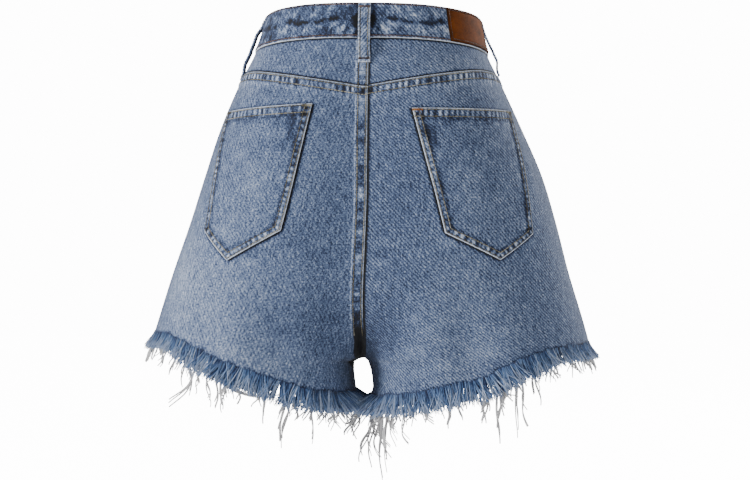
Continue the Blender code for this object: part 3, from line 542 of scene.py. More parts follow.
def round_laid(side, way, z, out=0.0):
    """Points a way round from the centre back, moved out from the cloth, and which way is out."""
    across = round_point(side, way + PROBE, z) - round_point(side, way - PROBE, z)
    up = round_point(side, way, z + PROBE) - round_point(side, way, z - PROBE)
    outward = unit(np.cross(up, across) * side)
    return round_point(side, way, z) + outward * np.asarray(out, float)[..., None], outward


def crease_height(side, face, dist, z):
    """Height of the listed soft creases."""
    total = np.zeros(np.broadcast(dist, z).shape)
    for crease in entries(CREASE_COLUMNS, CREASES, side=side, face=face):
        run = np.array((crease["to_dist"] - crease["dist"], crease["to_z"] - crease["z"]), float)
        length = np.hypot(*run)
        run /= length
        along = (dist - crease["dist"]) * run[0] + (z - crease["z"]) * run[1]
        bow = CREASE_BOW * length * np.sin(math.pi * np.clip(along / length, 0.0, 1.0))
        across = (z - crease["z"]) * run[0] - (dist - crease["dist"]) * run[1] - bow
        past, fading = CREASE_PAST * length, 0.5 * length
        ends = ease((along + past) / fading) * ease(((1.0 + CREASE_PAST) * length - along) / fading)
        total += crease["height"] * ends * bell(across / crease["width"])
    return total


def fold_share(face, dist, z):
    """How deep a place lies in the fold between the two sides of the seat, from 0 to 1."""
    if face == FRONT:
        return np.zeros(np.broadcast(dist, z).shape)
    above_crotch = ease((z - CROTCH_Z - 5.0) / 12.0)
    return bell(dist / SEAT_FOLD_WIDTH) * ease((SEAT_FOLD_TOP - z) / 26.0) * above_crotch


def fold_painted_shade_and_edge(side, face, dist, z):
    """Painted shade deep in the seat's fold and round the crotch, beside the seam's worn pale edge."""
    if face == FRONT:
        return np.zeros(np.broadcast(dist, z).shape)
    reach = reading(FOLD_REACH, FOLD_COLUMNS, SIDE_NAMES[side], z)
    deep = 0.35 * ease((-272.0 - z) / 30.0) + 0.65 * ease((-298.0 - z) / 12.0)
    # painted shade in the fold and round the crotch
    dark = -1.9 * deep * (1.0 - ease((dist - reach + 0.9) / 1.5))
    line = reading(FOLD_REACH, FOLD_COLUMNS, "line", z)
    if side == LEFT:
        return dark
    edge = ridge(dist, line, 0.9) * ease((-280.0 - z) / 10.0) * grow(z, -329.0, 8.0)
    return dark + 2.6 * edge * deep


def wash_and_painted_light(side, face, dist, z):
    """Broad light and dark patches of the wash, with painted light on the left leg and painted shade towards
    the crotch.
    """
    total = np.zeros(np.broadcast(dist, z).shape)
    for patch in entries(WASH_AND_PAINTED_LIGHT_COLUMNS, WASH_AND_PAINTED_LIGHT, side=side, face=face):
        total += (patch["wear_and_shade"] * ridge(dist, patch["dist"], patch["wide"])
                  * ridge(z, patch["z"], patch["high"]))
    return total


def laid(side, face, dist, z, out=0.0):
    """Points at distances from a face's centre line, moved out, and which way is out."""
    way = dist if face == BACK else half_length(side, z) - dist
    folds = crease_height(side, face, dist, z) - SEAT_FOLD_DEPTH * fold_share(face, dist, z)
    return round_laid(side, way, z, out + folds)


def ring_height(points):
    """Height of the middle of the tilted waist ring above or below points."""
    return WAIST_TILT * points[..., 1] + WAIST_ROLL * points[..., 0]


def band_line(side, way_share, height):
    """Height of a line round the tilted waist ring, at shares of the way to the centre front."""
    way_share, z = np.broadcast_arrays(np.asarray(way_share, float), np.asarray(height, float))
    for _ in range(BAND_STEPS):
        z = height + ring_height(round_point(side, way_share * half_length(side, z), z))
    return z


def band_base(side, face, dist, z):
    """Height of the edge that meets the waistband."""
    return ring_height(QUARTERS[side, face].point(dist, z)) - BAND_HALF - SEAM_GAP


def yoke_line(side, dist, z):
    """Height of the seam under the yoke."""
    return reading(YOKE_SEAM, YOKE_SEAM_COLUMNS, "z", dist / QUARTERS[side, BACK].length(z))


def hem_line(side, face, dist, z):
    """Height of the raw hem edge."""
    low_x, high_x = HEM[0][0], HEM[-1][0]
    x = np.clip(np.abs(QUARTERS[side, face].point(dist, z)[..., 0]), low_x, high_x)
    lift = FRONT_HEM_LIFT * np.sin(math.pi * (x - low_x) / (high_x - low_x)) if face == FRONT else 0.0
    uneven = 0.35 * mottle(x / 23.0, 0.0, 3 * side + face)
    steps = 1.0 - np.abs(np.sin(math.pi * (x / SCALLOP_LENGTH + uneven)))
    if (side, face) == (RIGHT, BACK):
        lift = lift - HEM_DIP * ridge(x, HEM_DIP_AT, HEM_DIP_REACH)
    return reading(HEM, HEM_COLUMNS, SIDE_NAMES[side], x) + lift + SCALLOP * steps


def centre_edge(side, z):
    """Where a piece starts beside the centre line: the left piece laps over the right one."""
    lap = FELL_HALF * ease((z - CROTCH_Z - 1.0) / 16.0)
    return SEAM_GAP / 2 - lap if side == LEFT else SEAM_GAP / 2 + lap


def settle(line, place, z):
    """Heights where the columns of a grid meet a line; both depend a little on the height itself."""
    for _ in range(SETTLE_STEPS):
        z = line(place(z), z)
    return z


# ---------------------------------------------------------------- materials
MAP_UNIT = 100.0         # millimetres to one unit of a cloth map
TWILL_SPACING = 3.1      # twill lines are 0.8 mm apart; drawn coarser so that they show
TWILL_CELL = 3.2 * TWILL_SPACING  # the wave texture has about three lines in a cell
TWILL_ANGLE = 42.0
GRAIN = 1.35             # salt and pepper of faded yarns; 0.5 mm in the cloth, drawn coarser
# Other noises of denim: thick places of the warp, clouds of the wash, and pale flecks
DENIM_NOISES = (         # cell across and along the warp in mm, detail, weight
    (2.4, 11.0, 2.0, 0.5),
    (16.0, 24.0, 3.0, 0.1),
    (2.4 * GRAIN, 2.8 * GRAIN, 1.0, 0.2),
)
WEAR_AND_SHADE_WEIGHT = 0.5        # how strongly wear, wash and painted light and shade change the tone
MIDDLE_TONE = 0.455      # tone of denim with no wear


def linear(hex_colour, alpha=1.0):
    """Linear colour from an sRGB hex value."""
    channels = [int(hex_colour[i:i + 2], 16) / 255.0 for i in (0, 2, 4)]
    return (*[c / 12.92 if c <= 0.04045 else ((c + 0.055) / 1.055) ** 2.4 for c in channels], alpha)


def add(tree, kind, settings=(), links=(), **inputs):
    """Add a node with its settings, input values and links (input name, node, output name)."""
    node = tree.nodes.new(kind)
    for name, value in dict(settings).items():
        setattr(node, name, value)
    for name, value in inputs.items():
        node.inputs[name.replace("_", " ")].default_value = value
    for name, source, output in links:
        tree.links.new(source.outputs[output], node.inputs[name])
    return node


def noise(tree, source, output, **inputs):
    """Add a noise at the places that a node gives."""
    return add(tree, "ShaderNodeTexNoise", links=[("Vector", source, output)], **inputs)


def finish(name, roughness, metallic=0.0, sheen=0.0):
    """A material with its Principled shader."""
    made = bpy.data.materials.new(name)
    made.use_nodes = True
    shader = made.node_tree.nodes["Principled BSDF"]
    shader.inputs["Roughness"].default_value = roughness
    shader.inputs["Metallic"].default_value = metallic
    shader.inputs["Sheen Weight"].default_value = sheen
    return made, made.node_tree, shader


def paint(tree, shader, factor, output, stops):
    """Colour a shader along a ramp of (position, hex colour) stops."""
    node = add(tree, "ShaderNodeValToRGB", links=[("Fac", factor, output)])
    line = node.color_ramp
    while len(line.elements) < len(stops):
        line.elements.new(0.5)
    for element, (position, hex_colour) in zip(line.elements, stops):
        element.position = position
        element.color = linear(hex_colour)
    tree.links.new(node.outputs["Color"], shader.inputs["Base Color"])


def emboss(tree, shader, height, output, strength, distance):
    """Raise a shader's surface by a pattern, over a distance in metres."""
    bump = add(tree, "ShaderNodeBump", links=[("Height", height, output)],
               Strength=strength, Distance=distance)
    tree.links.new(bump.outputs["Normal"], shader.inputs["Normal"])


def scaled(tree, source, across, up, angle=0.0):
    """The cloth's own map, turned, in cells of these sizes in millimetres."""
    turned = add(tree, "ShaderNodeMapping", links=[("Vector", source, "UV")])
    turned.inputs["Rotation"].default_value = (0.0, 0.0, math.radians(angle))
    return add(tree, "ShaderNodeMapping", links=[("Vector", turned, "Vector")],
               Scale=(1 / (across / MAP_UNIT), 1 / (up / MAP_UNIT), 1.0))


def weighted(tree, parts, start):
    """A number plus several weighted (node, output, weight) parts."""
    total, output = start
    for node, name, weight in parts:
        total = add(tree, "ShaderNodeMath", {"operation": "MULTIPLY_ADD"},
                    [(0, node, name), (2, total, output)])
        total.inputs[1].default_value = weight
        output = "Value"
    return total


def make_denim(name, stops, grain_weight, twill_weight):
    """Stone-washed indigo twill: matt, salt-and-pepper grain over soft wash marks and painted light and
    shade, pale where rubbed.
    """
    made, tree, shader = finish(name, roughness=0.88, sheen=0.12)
    cloth = add(tree, "ShaderNodeUVMap", {"uv_map": "cloth"})
    wear_and_shade = add(tree, "ShaderNodeAttribute", {"attribute_name": "wear_and_shade"})
    grain = noise(tree, scaled(tree, cloth, GRAIN, 1.25 * GRAIN), "Vector",
                  Scale=1.0, Detail=1.0, Roughness=0.6)
    twill = add(tree, "ShaderNodeTexWave", {"bands_direction": "X"},
                [("Vector", scaled(tree, cloth, TWILL_CELL, TWILL_CELL, TWILL_ANGLE), "Vector")],
                Scale=1.0, Distortion=1.0, Detail=1.0)
    parts = [(grain, "Fac", grain_weight), (twill, "Fac", twill_weight)]
    for across, up, detail, weight in DENIM_NOISES:
        cells = noise(tree, scaled(tree, cloth, across, up), "Vector", Scale=1.0, Detail=detail)
        parts.append((cells, "Fac", weight))
    base = add(tree, "ShaderNodeValue")
    base.outputs[0].default_value = MIDDLE_TONE - 0.5 * sum(weight for _, _, weight in parts)
    tone = weighted(tree, [(wear_and_shade, "Fac", WEAR_AND_SHADE_WEIGHT)] + parts, (base, "Value"))
    paint(tree, shader, tone, "Value", stops)
    relief = weighted(tree, ((twill, "Fac", 0.5),), (grain, "Fac"))
    emboss(tree, shader, relief, "Value", 0.2, 0.0004)
    return made


def make_yarn(name, *stops):
    """Cotton yarn or thread: matt, with a tone of its own along each strand."""
    made, tree, shader = finish(name, roughness=0.85, sheen=0.15)
    tone = add(tree, "ShaderNodeAttribute", {"attribute_name": "tone"})
    place = add(tree, "ShaderNodeTexCoord")
    grain = noise(tree, place, "Object", Scale=900.0, Detail=1.0)
    mixed = weighted(tree, ((grain, "Fac", 0.2),), (tone, "Fac"))
    paint(tree, shader, mixed, "Value", stops)
    return made


def make_leather():
    """Vegetable-tanned cowhide, drum dyed: fine pebbled grain, a soft sheen, darker pressed edges."""
    made, tree, shader = finish("vegetable-tanned brown leather", roughness=0.72)
    place = add(tree, "ShaderNodeTexCoord")
    pores = add(tree, "ShaderNodeTexVoronoi", links=[("Vector", place, "Object")], Scale=1100.0)
    cloud = noise(tree, place, "Object", Scale=90.0, Detail=4.0)
    edge = add(tree, "ShaderNodeAttribute", {"attribute_name": "wear_and_shade"})
    tone = weighted(tree, ((pores, "Distance", 0.28), (cloud, "Fac", 0.5)), (edge, "Fac"))
    paint(tree, shader, tone, "Value",
          ((0.0, "180D02"), (0.35, "4D2606"), (0.6, "733A0A"), (1.0, "98560F")))
    emboss(tree, shader, pores, "Distance", 0.3, 0.0003)
    shader.inputs["Specular IOR Level"].default_value = 0.12
    return made


def make_brass():
    """Stamped brass with an antique dip: brown in the hollows and brighter where it rubs."""
    made, tree, shader = finish("antique stamped brass", roughness=0.36, metallic=1.0)
    place = add(tree, "ShaderNodeTexCoord")
    tarnish = noise(tree, place, "Object", Scale=420.0, Detail=5.0)
    paint(tree, shader, tarnish, "Fac", ((0.25, "5E4526"), (0.5, "A07C42"), (0.8, "CBA662")))
    return made


INDIGO = ((0.0, "03060E"), (0.2, "182441"), (0.36, "394A6B"), (0.5, "617293"), (0.64, "8B9AB7"),
          (0.8, "BDC8DC"), (1.0, "E6ECF7"))
# The left half faces the key light: its twill lines are painted fainter and its grain a little stronger than
# on the right half turned from it, a lit and a shaded copy of one cloth: painted light
DENIM = {LEFT: make_denim("stone-washed indigo twill, painted for the lit side", INDIGO, 0.86, 0.09),
         RIGHT: make_denim("stone-washed indigo twill", INDIGO, 0.84, 0.19)}
REVERSE = make_denim("pale reverse of indigo twill",
                     ((0.0, "46536C"), (0.4, "8793A8"), (0.7, "B4BCC8"), (1.0, "DFE1E2")), 0.8, 0.2)
ZIP_TAPE = make_denim("navy cotton zip tape", ((0.0, "10182B"), (1.0, "2B3A5C")), 0.3, 0.2)
SEWING_THREADS = {
    "rust": make_yarn("rust core-spun topstitch thread", (0.0, "1E1210"), (0.5, "553A30"), (1.0, "8C7062")),
    "gold": make_yarn("faded gold topstitch thread", (0.0, "38342A"), (0.5, "77705A"), (1.0, "B4AF9E")),
    "tan": make_yarn("tan bartack thread", (0.0, "5A3218"), (0.5, "9C5E2E"), (1.0, "C98F55")),
}
BLUE_YARN = make_yarn("frayed indigo warp yarn", (0.0, "0A1530"), (0.25, "223A68"), (0.5, "4E6FA2"),
                      (0.75, "809DC9"), (1.0, "BDCCE6"))
PALE_YARN = make_yarn("loose undyed weft yarn", (0.0, "B9B8B9"), (0.5, "D3D2D3"), (1.0, "ECECEC"))
LEATHER = make_leather()
BRASS = make_brass()


# ---------------------------------------------------------------- making meshes
def face_outwards(bm):
    """Turn the faces of a closed body outwards."""
    bmesh.ops.recalc_face_normals(bm, faces=bm.faces)
    if bm.calc_volume(signed=True) < 0.0:
        bmesh.ops.reverse_faces(bm, faces=bm.faces)


def complete(mesh, finishes):
    """Turn a mesh's faces outwards, smooth it, and give it its finishes."""
    bm = bmesh.new()
    bm.from_mesh(mesh)
    face_outwards(bm)
    bm.to_mesh(mesh)
    bm.free()
    mesh.shade_smooth()
    for material in finishes:
        mesh.materials.append(material)


def put(name, data):
    """Put a mesh, light or camera in the scene."""
    made = bpy.data.objects.new(name, data)
    bpy.context.scene.collection.objects.link(made)
    return made


def add_piece(name, mesh, nodes=()):
    """Put a mesh in the scene as a piece that rides on the shorts and stands for these CAD nodes."""
    made = put(name, mesh)
    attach(made, "root")
    if nodes:
        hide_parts(*nodes)
    return made


def add_numbers(mesh, name, values):
    """Give a mesh a number at each point, for its material to read."""
    attribute = mesh.attributes.new(name, "FLOAT", "POINT")
    attribute.data.foreach_set("value", values.astype(np.float32).ravel())


def wall_of(name, outer, inner, wear_and_shade, measure, finishes):
    """A closed wall of cloth between two arrays of points, [column, row, xyz].

    The argument after inner is its wear, with painted light and shade, at each point, and measure its places
    in millimetres for the cloth's map. The first finish is the face of the cloth and the second its reverse.
    """
    columns, rows = outer.shape[:2]
    bm = bmesh.new()
    bmesh.ops.create_grid(bm, x_segments=columns - 1, y_segments=rows - 1, size=0.5)
    drawn = bmesh.ops.extrude_face_region(bm, geom=bm.faces[:], use_keep_orig=True)
    for item in drawn["geom"]:
        if isinstance(item, bmesh.types.BMVert):
            item.co.z = 1.0
        elif isinstance(item, bmesh.types.BMFace):
            item.material_index = 1
    mesh = bpy.data.meshes.new(name)
    bm.to_mesh(mesh)
    bm.free()
    flat = np.empty(3 * len(mesh.vertices))
    mesh.vertices.foreach_get("co", flat)
    flat = flat.reshape(-1, 3)
    column = np.rint((flat[:, 0] + 0.5) * (columns - 1)).astype(int)
    row = np.rint((flat[:, 1] + 0.5) * (rows - 1)).astype(int)
    under = flat[:, 2] > 0.5
    places = np.where(under[:, None], inner[column, row], outer[column, row]) * MM
    mesh.vertices.foreach_set("co", places.astype(np.float32).ravel())
    add_numbers(mesh, "wear_and_shade", wear_and_shade[column, row])
    corner = np.empty(len(mesh.loops), dtype=np.int32)
    mesh.loops.foreach_get("vertex_index", corner)
    cloth_map = mesh.uv_layers.new(name="cloth")
    spots = measure[column, row][corner] / MAP_UNIT
    cloth_map.data.foreach_set("uv", spots.astype(np.float32).ravel())
    complete(mesh, finishes)
    piece = add_piece(name + "_cloth", mesh, [name])


def yarn_template(sides, rings):
    """A straight yarn of radius 1 and length 1 up z, with closed ends."""
    bm = bmesh.new()
    bmesh.ops.create_circle(bm, cap_ends=True, segments=sides, radius=1.0)
    top = bm.faces[:]
    for ring in range(1, rings):
        drawn = bmesh.ops.extrude_face_region(bm, geom=top, use_keep_orig=ring == 1)
        for item in drawn["geom"]:
            if isinstance(item, bmesh.types.BMVert):
                item.co.z = ring / (rings - 1)
        top = [item for item in drawn["geom"] if isinstance(item, bmesh.types.BMFace)]
    face_outwards(bm)
    bm.verts.index_update()
    verts = np.array([vert.co for vert in bm.verts])
    faces = [[vert.index for vert in face.verts] for face in bm.faces]
    bm.free()
    return verts, faces


def yarns(name, paths, radii, tone, facing, material, slot="cotton_fringe", nodes=(), sides=3):
    """One mesh of many yarns from an array: paths [yarn, ring, xyz], radii and tone [yarn, ring]."""
    count, rings = paths.shape[:2]
    verts, faces = yarn_template(sides, rings)
    ring = np.rint(verts[:, 2] * (rings - 1)).astype(int)
    tangent = unit(np.gradient(paths, axis=1), 1e-9)
    beside = unit(np.cross(tangent, facing[:, None, :]), 1e-9)
    above = np.cross(tangent, beside)
    spread = beside[:, ring] * verts[:, 0, None] + above[:, ring] * verts[:, 1, None]
    places = paths[:, ring] + spread * radii[:, ring, None]
    every = [[corner + len(verts) * copy for corner in face] for copy in range(count) for face in faces]
    mesh = bpy.data.meshes.new(name)
    mesh.from_pydata((places.reshape(-1, 3) * MM).tolist(), [], every)
    add_numbers(mesh, "tone", tone[:, ring])
    complete(mesh, [material])
    add_piece(name, mesh, nodes)


# ---------------------------------------------------------------- topstitching
STITCHES = {thread: [] for thread in SEWING_THREADS}


def stitch_row(thread, places, outward, length=STITCH_LENGTH, lift=STITCH_LIFT):
    """Lay a row of stitches along a line of points on the cloth."""
    walk = walked(places)
    if walk[-1] < length:
        return
    count = max(int(walk[-1] / (length + STITCH_SPACE)), 1)
    starts = (np.arange(count) + 0.5) * walk[-1] / count
    shares = np.array(STITCH_SHARES) * length
    sunk = np.array(STITCH_SINK) * THREAD_RADIUS
    along = starts[:, None] + shares
    path, up = read_along(along, walk, places), read_along(along, walk, outward)
    STITCHES[thread].append((path + up * (sunk + lift)[:, None], up[:, 2]))


def stitch_on(thread, side, face, dist, z, out):
    """Lay a row of stitches on one face of the cloth, raised to the piece that it sews."""
    place, outward = laid(side, face, dist, z, out)
    stitch_row(thread, place, outward)


def bartack(thread, centre, across, along, outward, width, height):
    """A dense tack: short threads side by side across a line."""
    count = max(int(width / TACK_SPACING), 2)
    steps = (np.arange(count) + 0.5) / count - 0.5
    ends = np.linspace(-0.5, 0.5, 5)
    path = (centre + across * (steps * width)[:, None, None] + along * (ends * height)[None, :, None]
            + outward * np.array(TACK_SINK)[None, :, None])
    STITCHES[thread].append((path, np.repeat(outward[None, :], count, axis=0)))


def sew():
    """Turn the rows of each thread into one piece."""
    for thread, material in SEWING_THREADS.items():
        paths = np.concatenate([rows for rows, _ in STITCHES[thread]])
        facing = np.concatenate([up for _, up in STITCHES[thread]])
        radii = np.full(paths.shape[:2], THREAD_RADIUS)
        radii[:, (0, -1)] *= 0.6
        spot = np.arange(len(paths))
        tone = 0.42 + 0.4 * mottle(spot / 9.0, 0.0, 4) + 0.3 * mottle(spot / 1.3, 0.0, 6)
        tone = np.repeat(tone[:, None], paths.shape[1], axis=1)
        yarns("topstitching_" + thread, paths, radii, tone, facing, material, sides=4)


# ---------------------------------------------------------------- denim pieces
def fell(into, along, seed):
    """Relief and wear of a felled seam: a rubbed fold, sunk stitch rows, puckers between them."""
    inside = ease((into + 0.3) / 0.8) * (1.0 - ease((into - FELL_HEIGHT) / 1.6))
    rows = ridge(into, FELL_ROWS[0], 0.8) + ridge(into, FELL_ROWS[1], 0.9)
    between = ridge(into, sum(FELL_ROWS) / 2, 3.4)
    pulled = bell((into - FELL_HEIGHT - 1.4) / 3.2)
    wave = puckers(along, seed)
    height = inside * (FELL_RAISE - 0.35 * rows) + 0.5 * wave * between + 0.2 * wave * pulled
    dark = mottle(along / 5.0, 0.0, seed + 1)
    wear_and_shade = (1.1 * bell(into / ABRASION) + 0.95 * wave * between - 0.4 * rows * inside
            + 0.25 * pulled * (0.5 + wave) + between * (0.4 * dark - 0.12))
    return height, wear_and_shade


def seat_strength(z):
    """How much of the felled seam's relief is left towards the crotch."""
    return ease((z - CROTCH_Z - 8.0) / 40.0)


def seat_fell(into, z, seed):
    """Relief and wear of the felled seam down the centre back."""
    strength = seat_strength(z)
    inside = ease((into + 0.3) / 0.8) * (1.0 - ease((into - 2 * FELL_HALF) / 1.6))
    rows = ridge(into, SEAT_ROWS[0], 0.8) + ridge(into, SEAT_ROWS[1], 0.9)
    between = ridge(into, sum(SEAT_ROWS) / 2, 3.4)
    wave = puckers(z, seed)
    height = strength * (inside * (FELL_RAISE - 0.35 * rows) + 0.24 * wave * between)
    dark = mottle(z / 7.0, 0.0, seed + 2)
    wear_and_shade = strength * (1.15 * bell(into / ABRASION) + 0.42 * bell((into - 2 * FELL_HALF - 0.6) / 0.8)
                       + 0.3 * wave * between - 0.4 * rows * inside + between * (0.55 * dark - 0.04))
    return height, wear_and_shade


def panel_grid(side, face, top_line, bottom_line, across_step, down_step, fine_across, fine_top, fine_low):
    """Distances and heights of a panel's grid, finer beside its centre edge, its top and its hem."""
    quarter = QUARTERS[side, face]
    near = np.arange(0.0, fine_across, FINE_ACROSS)
    reach = quarter.length(PANEL_LEVEL)
    shares = np.linspace(0.0, 1.0, max(int(reach / across_step), 8))[1:]
    columns = len(near) + len(shares)

    def column_dist(z):
        edge, end = centre_edge(side, z), quarter.length(z) - SEAM_GAP / 2
        out = np.empty((columns,) + np.shape(z)[1:])
        first = near.reshape((-1,) + (1,) * (np.ndim(z) - 1))
        out[:len(near)] = edge[:len(near)] + first
        rest = shares.reshape((-1,) + (1,) * (np.ndim(z) - 1))
        z_rest = z[len(near):]
        start = edge[len(near):] + near[-1]
        share = quarter.spread(rest, z_rest) / quarter.length(z_rest)
        out[len(near):] = start + (end[len(near):] - start) * share
        return out

    top = settle(top_line, column_dist, np.full(columns, TOP_GUESS))
    low = settle(bottom_line, column_dist, np.full(columns, HEM_GUESS))
    down, up = np.arange(0.0, fine_top, FINE_DOWN), np.arange(0.0, fine_low, FINE_UP)[::-1]
    middle = np.linspace(0.0, 1.0, max(int((top.mean() - low.min() - fine_top - fine_low) / down_step), 3))
    start, end = top - down[-1], low + up[0]
    rows = [top - offset for offset in down[:-1]]
    rows += [start + (end - start) * share for share in middle]
    rows += [low + offset for offset in up[1:]]
    z = np.stack(rows, axis=1)
    return column_dist(z), z, top[:, None], low[:, None]


def side_seam_fade(into, z, seed):
    """Wear beside a side seam: a rubbed ridge, a dark groove and rope-like marks."""
    return (0.35 * ridge(into, 2.2, 1.3) * (0.6 + 0.6 * mottle(z / 6.0, 0.0, seed))
            - 0.5 * bell(into / 0.9) + 0.12 * mottle(z / 11.0, into / 9.0, seed + 3) * bell(into / 9.0))


def hem_fade(above, dist, seed):
    """Wear of the raw edge: a dark root with pale broken yarns."""
    return -0.6 * bell(above / 2.2) + 0.3 * mottle(dist / 2.2, above / 3.0, seed) * bell(above / 5.0)


def cloth_places(side, face, dist, z, shift):
    """Places on the cloth's map, from the line where the form turns to the side."""
    quarter = QUARTERS[side, face]
    from_spine = dist - np.interp(z, quarter.levels, quarter.spines)
    return np.stack((from_spine * side * face + shift, z), axis=-1)


def lay_panel(name, side, face, grid, height, wear_and_shade):
    """Make a yoke or a panel from its grid, relief and wear."""
    dist, z = grid[0], grid[1]
    wear_and_shade = wear_and_shade + side_seam_fade(QUARTERS[side, face].length(z) - dist, z, PANEL_SEEDS[name] + side)
    # the wash, with painted light and shade
    wear_and_shade = wear_and_shade + wash_and_painted_light(side, face, dist, z)
    wear_and_shade = wear_and_shade + 0.05 * mottle(dist / 30.0, z / 42.0, side + 2 * face + 7)
    # painted shade in the seat's fold and round the crotch, with the seam's worn pale edge
    wear_and_shade = wear_and_shade + fold_painted_shade_and_edge(side, face, dist, z)
    outer, _ = laid(side, face, dist, z, height)
    inner, _ = laid(side, face, dist, z, -WALL)
    measure = cloth_places(side, face, dist, z, PANEL_SHIFT * face)
    wall_of(name + SIDE_NAMES[side], outer, inner, wear_and_shade, measure, (DENIM[side], REVERSE))


def make_yokes():
    """Two yokes under the waistband."""
    for side in (LEFT, RIGHT):
        grid = panel_grid(side, BACK, lambda dist, z: band_base(side, BACK, dist, z),
                          lambda dist, z: yoke_line(side, dist, z) + SEAM_GAP, *PANEL_STEPS["yoke_"])
        dist, z, top, low = grid
        into = dist - centre_edge(side, z)
        height, wear_and_shade = np.zeros(dist.shape), np.zeros(dist.shape)
        if side == LEFT:
            height, wear_and_shade = seat_fell(into, z, 21)
        else:
            # painted shadow beside the folded edge of the seat seam, where the left piece laps over
            wear_and_shade -= SHADOW * bell(into / SHADOW_WIDTH)
        # painted shadows: a dark line along the yoke's lower edge under the raised fold of the felled seam,
        # and one along its top under the waistband
        wear_and_shade = wear_and_shade - 1.5 * ridge(z, low, 1.3) - 1.5 * ridge(top, z, 1.4)
        lay_panel("yoke_", side, BACK, grid, height, wear_and_shade)


def pocket_painted_shadow(side, dist, z):
    """Painted shadow close round a pocket, on the cloth beside its edges."""
    shade = np.zeros(dist.shape)
    plan = np.stack((dist, z), axis=-1)
    for start, end, deep in POCKET_SHADOW_DEPTHS:
        away, along, length = segment_place(plan, POCKETS[side][start], POCKETS[side][end])
        ends = grow(along, -1.0, 3.0) * ease((length + 1.0 - along) / 3.0)
        shade = np.minimum(shade, -deep * ends * bell(away / 1.9))
    return shade


def make_backs():
    """Back panels, with the felled yoke and seat seams."""
    for side in (LEFT, RIGHT):
        grid = panel_grid(side, BACK, lambda dist, z: yoke_line(side, dist, z),
                          lambda dist, z: hem_line(side, BACK, dist, z), *PANEL_STEPS["back_"])
        dist, z, top, low = grid
        into = dist - centre_edge(side, z)
        height, wear_and_shade = fell(top - z, dist, 40 + side)
        if side == LEFT:
            seat_height, seat_fade = seat_fell(into, z, 23)
            height, wear_and_shade = np.maximum(height, seat_height), wear_and_shade + seat_fade
        else:
            # painted shadow beside the folded edge of the seat seam, where the left piece laps over
            wear_and_shade = wear_and_shade - SHADOW * bell(into / SHADOW_WIDTH) * grow(z, CROTCH_Z, 30.0)
        # the worn root of the hem, and painted shadow round the pocket
        wear_and_shade = wear_and_shade + hem_fade(z - low, dist, 50 + side) + pocket_painted_shadow(side, dist, z)
        lay_panel("back_", side, BACK, grid, height, wear_and_shade)
        for row in FELL_ROWS:
            stitch_on("gold", side, BACK, dist[:, 0], top[:, 0] - row, FELL_RAISE - ROW_SINK)


def seat_rows():
    """Two stitch rows down the seam at the centre back, from the waistband to the crotch."""
    z = np.linspace(-22.0, CROTCH_Z + 24.0, 160)
    for row in SEAT_ROWS:
        stitch_on("gold", LEFT, BACK, centre_edge(LEFT, z) + row, z,
                  seat_strength(z) * (FELL_RAISE - ROW_SINK))


def make_fronts():
    """Front panels; the left one carries the raised fly."""
    for side in (LEFT, RIGHT):
        grid = panel_grid(side, FRONT, lambda dist, z: band_base(side, FRONT, dist, z),
                          lambda dist, z: hem_line(side, FRONT, dist, z), *PANEL_STEPS["front_"])
        dist, z, top, low = grid
        height, wear_and_shade = np.zeros(dist.shape), np.zeros(dist.shape)
        if side == LEFT:
            curve = FLY_BOTTOM + 30.0 * np.clip(dist / FLY_WIDTH, 0.0, None) ** 3
            inside = ease((FLY_WIDTH - dist) / 1.2 + 0.5) * ease((z - curve) / 1.5 + 0.5)
            rows = sum(bell((dist - FLY_WIDTH + row) / 0.9) for row in FLY_ROWS)
            wave = puckers(z, 61) * bell((dist - FLY_WIDTH + 5.0) / 4.5)
            height = inside * (FLY_RAISE - 0.3 * rows + 0.22 * wave)
            wear_and_shade = (inside * (0.2 * wave - 0.3 * rows)
                    + 0.4 * ridge(dist, FLY_WIDTH, 1.0) * grow(z, curve, 3.0))
        into = dist - centre_edge(side, z)
        # a rubbed pale fold on the left front's centre edge, and painted shadow on the right front beside
        # it, where the left laps over
        wear_and_shade = wear_and_shade + (0.8 if side == LEFT else -0.7) * bell(into / 1.0)
        # painted shadow along the top under the waistband, and the worn root of the hem
        wear_and_shade = wear_and_shade - 0.5 * ridge(top, z, 1.8) + hem_fade(z - low, dist, 52 + side)
        lay_panel("front_", side, FRONT, grid, height, wear_and_shade)


def fly_rows():
    """The double J of stitches round the fly, and the row down the front seam below it."""
    for inset in FLY_ROWS:
        z = np.linspace(-30.0, FLY_BOTTOM + FLY_TURN, 80)
        reach = FLY_WIDTH - inset
        turn = np.linspace(0.0, math.pi / 2, 30)
        dist = np.concatenate((np.full(z.shape, reach), reach * np.cos(turn) - 3.0 * (1.0 - np.cos(turn))))
        z = np.concatenate((z, z[-1] - (FLY_TURN - inset) * np.sin(turn)))
        stitch_on("gold", LEFT, FRONT, dist, z, FLY_RAISE - 0.2)
    z = np.linspace(FLY_BOTTOM - 4.0, CROTCH_Z + 12.0, 90)
    for row in RISE_ROWS:
        stitch_on("gold", LEFT, FRONT, centre_edge(LEFT, z) + row, z, 0.1)


def band_place(side, way, height, out):
    """Points on the waistband at ways and heights measured on its middle line."""
    total = half_length(side, 0.0)
    z = band_line(side, way / total, height)
    return round_laid(side, way * half_length(side, z) / total, z, out)


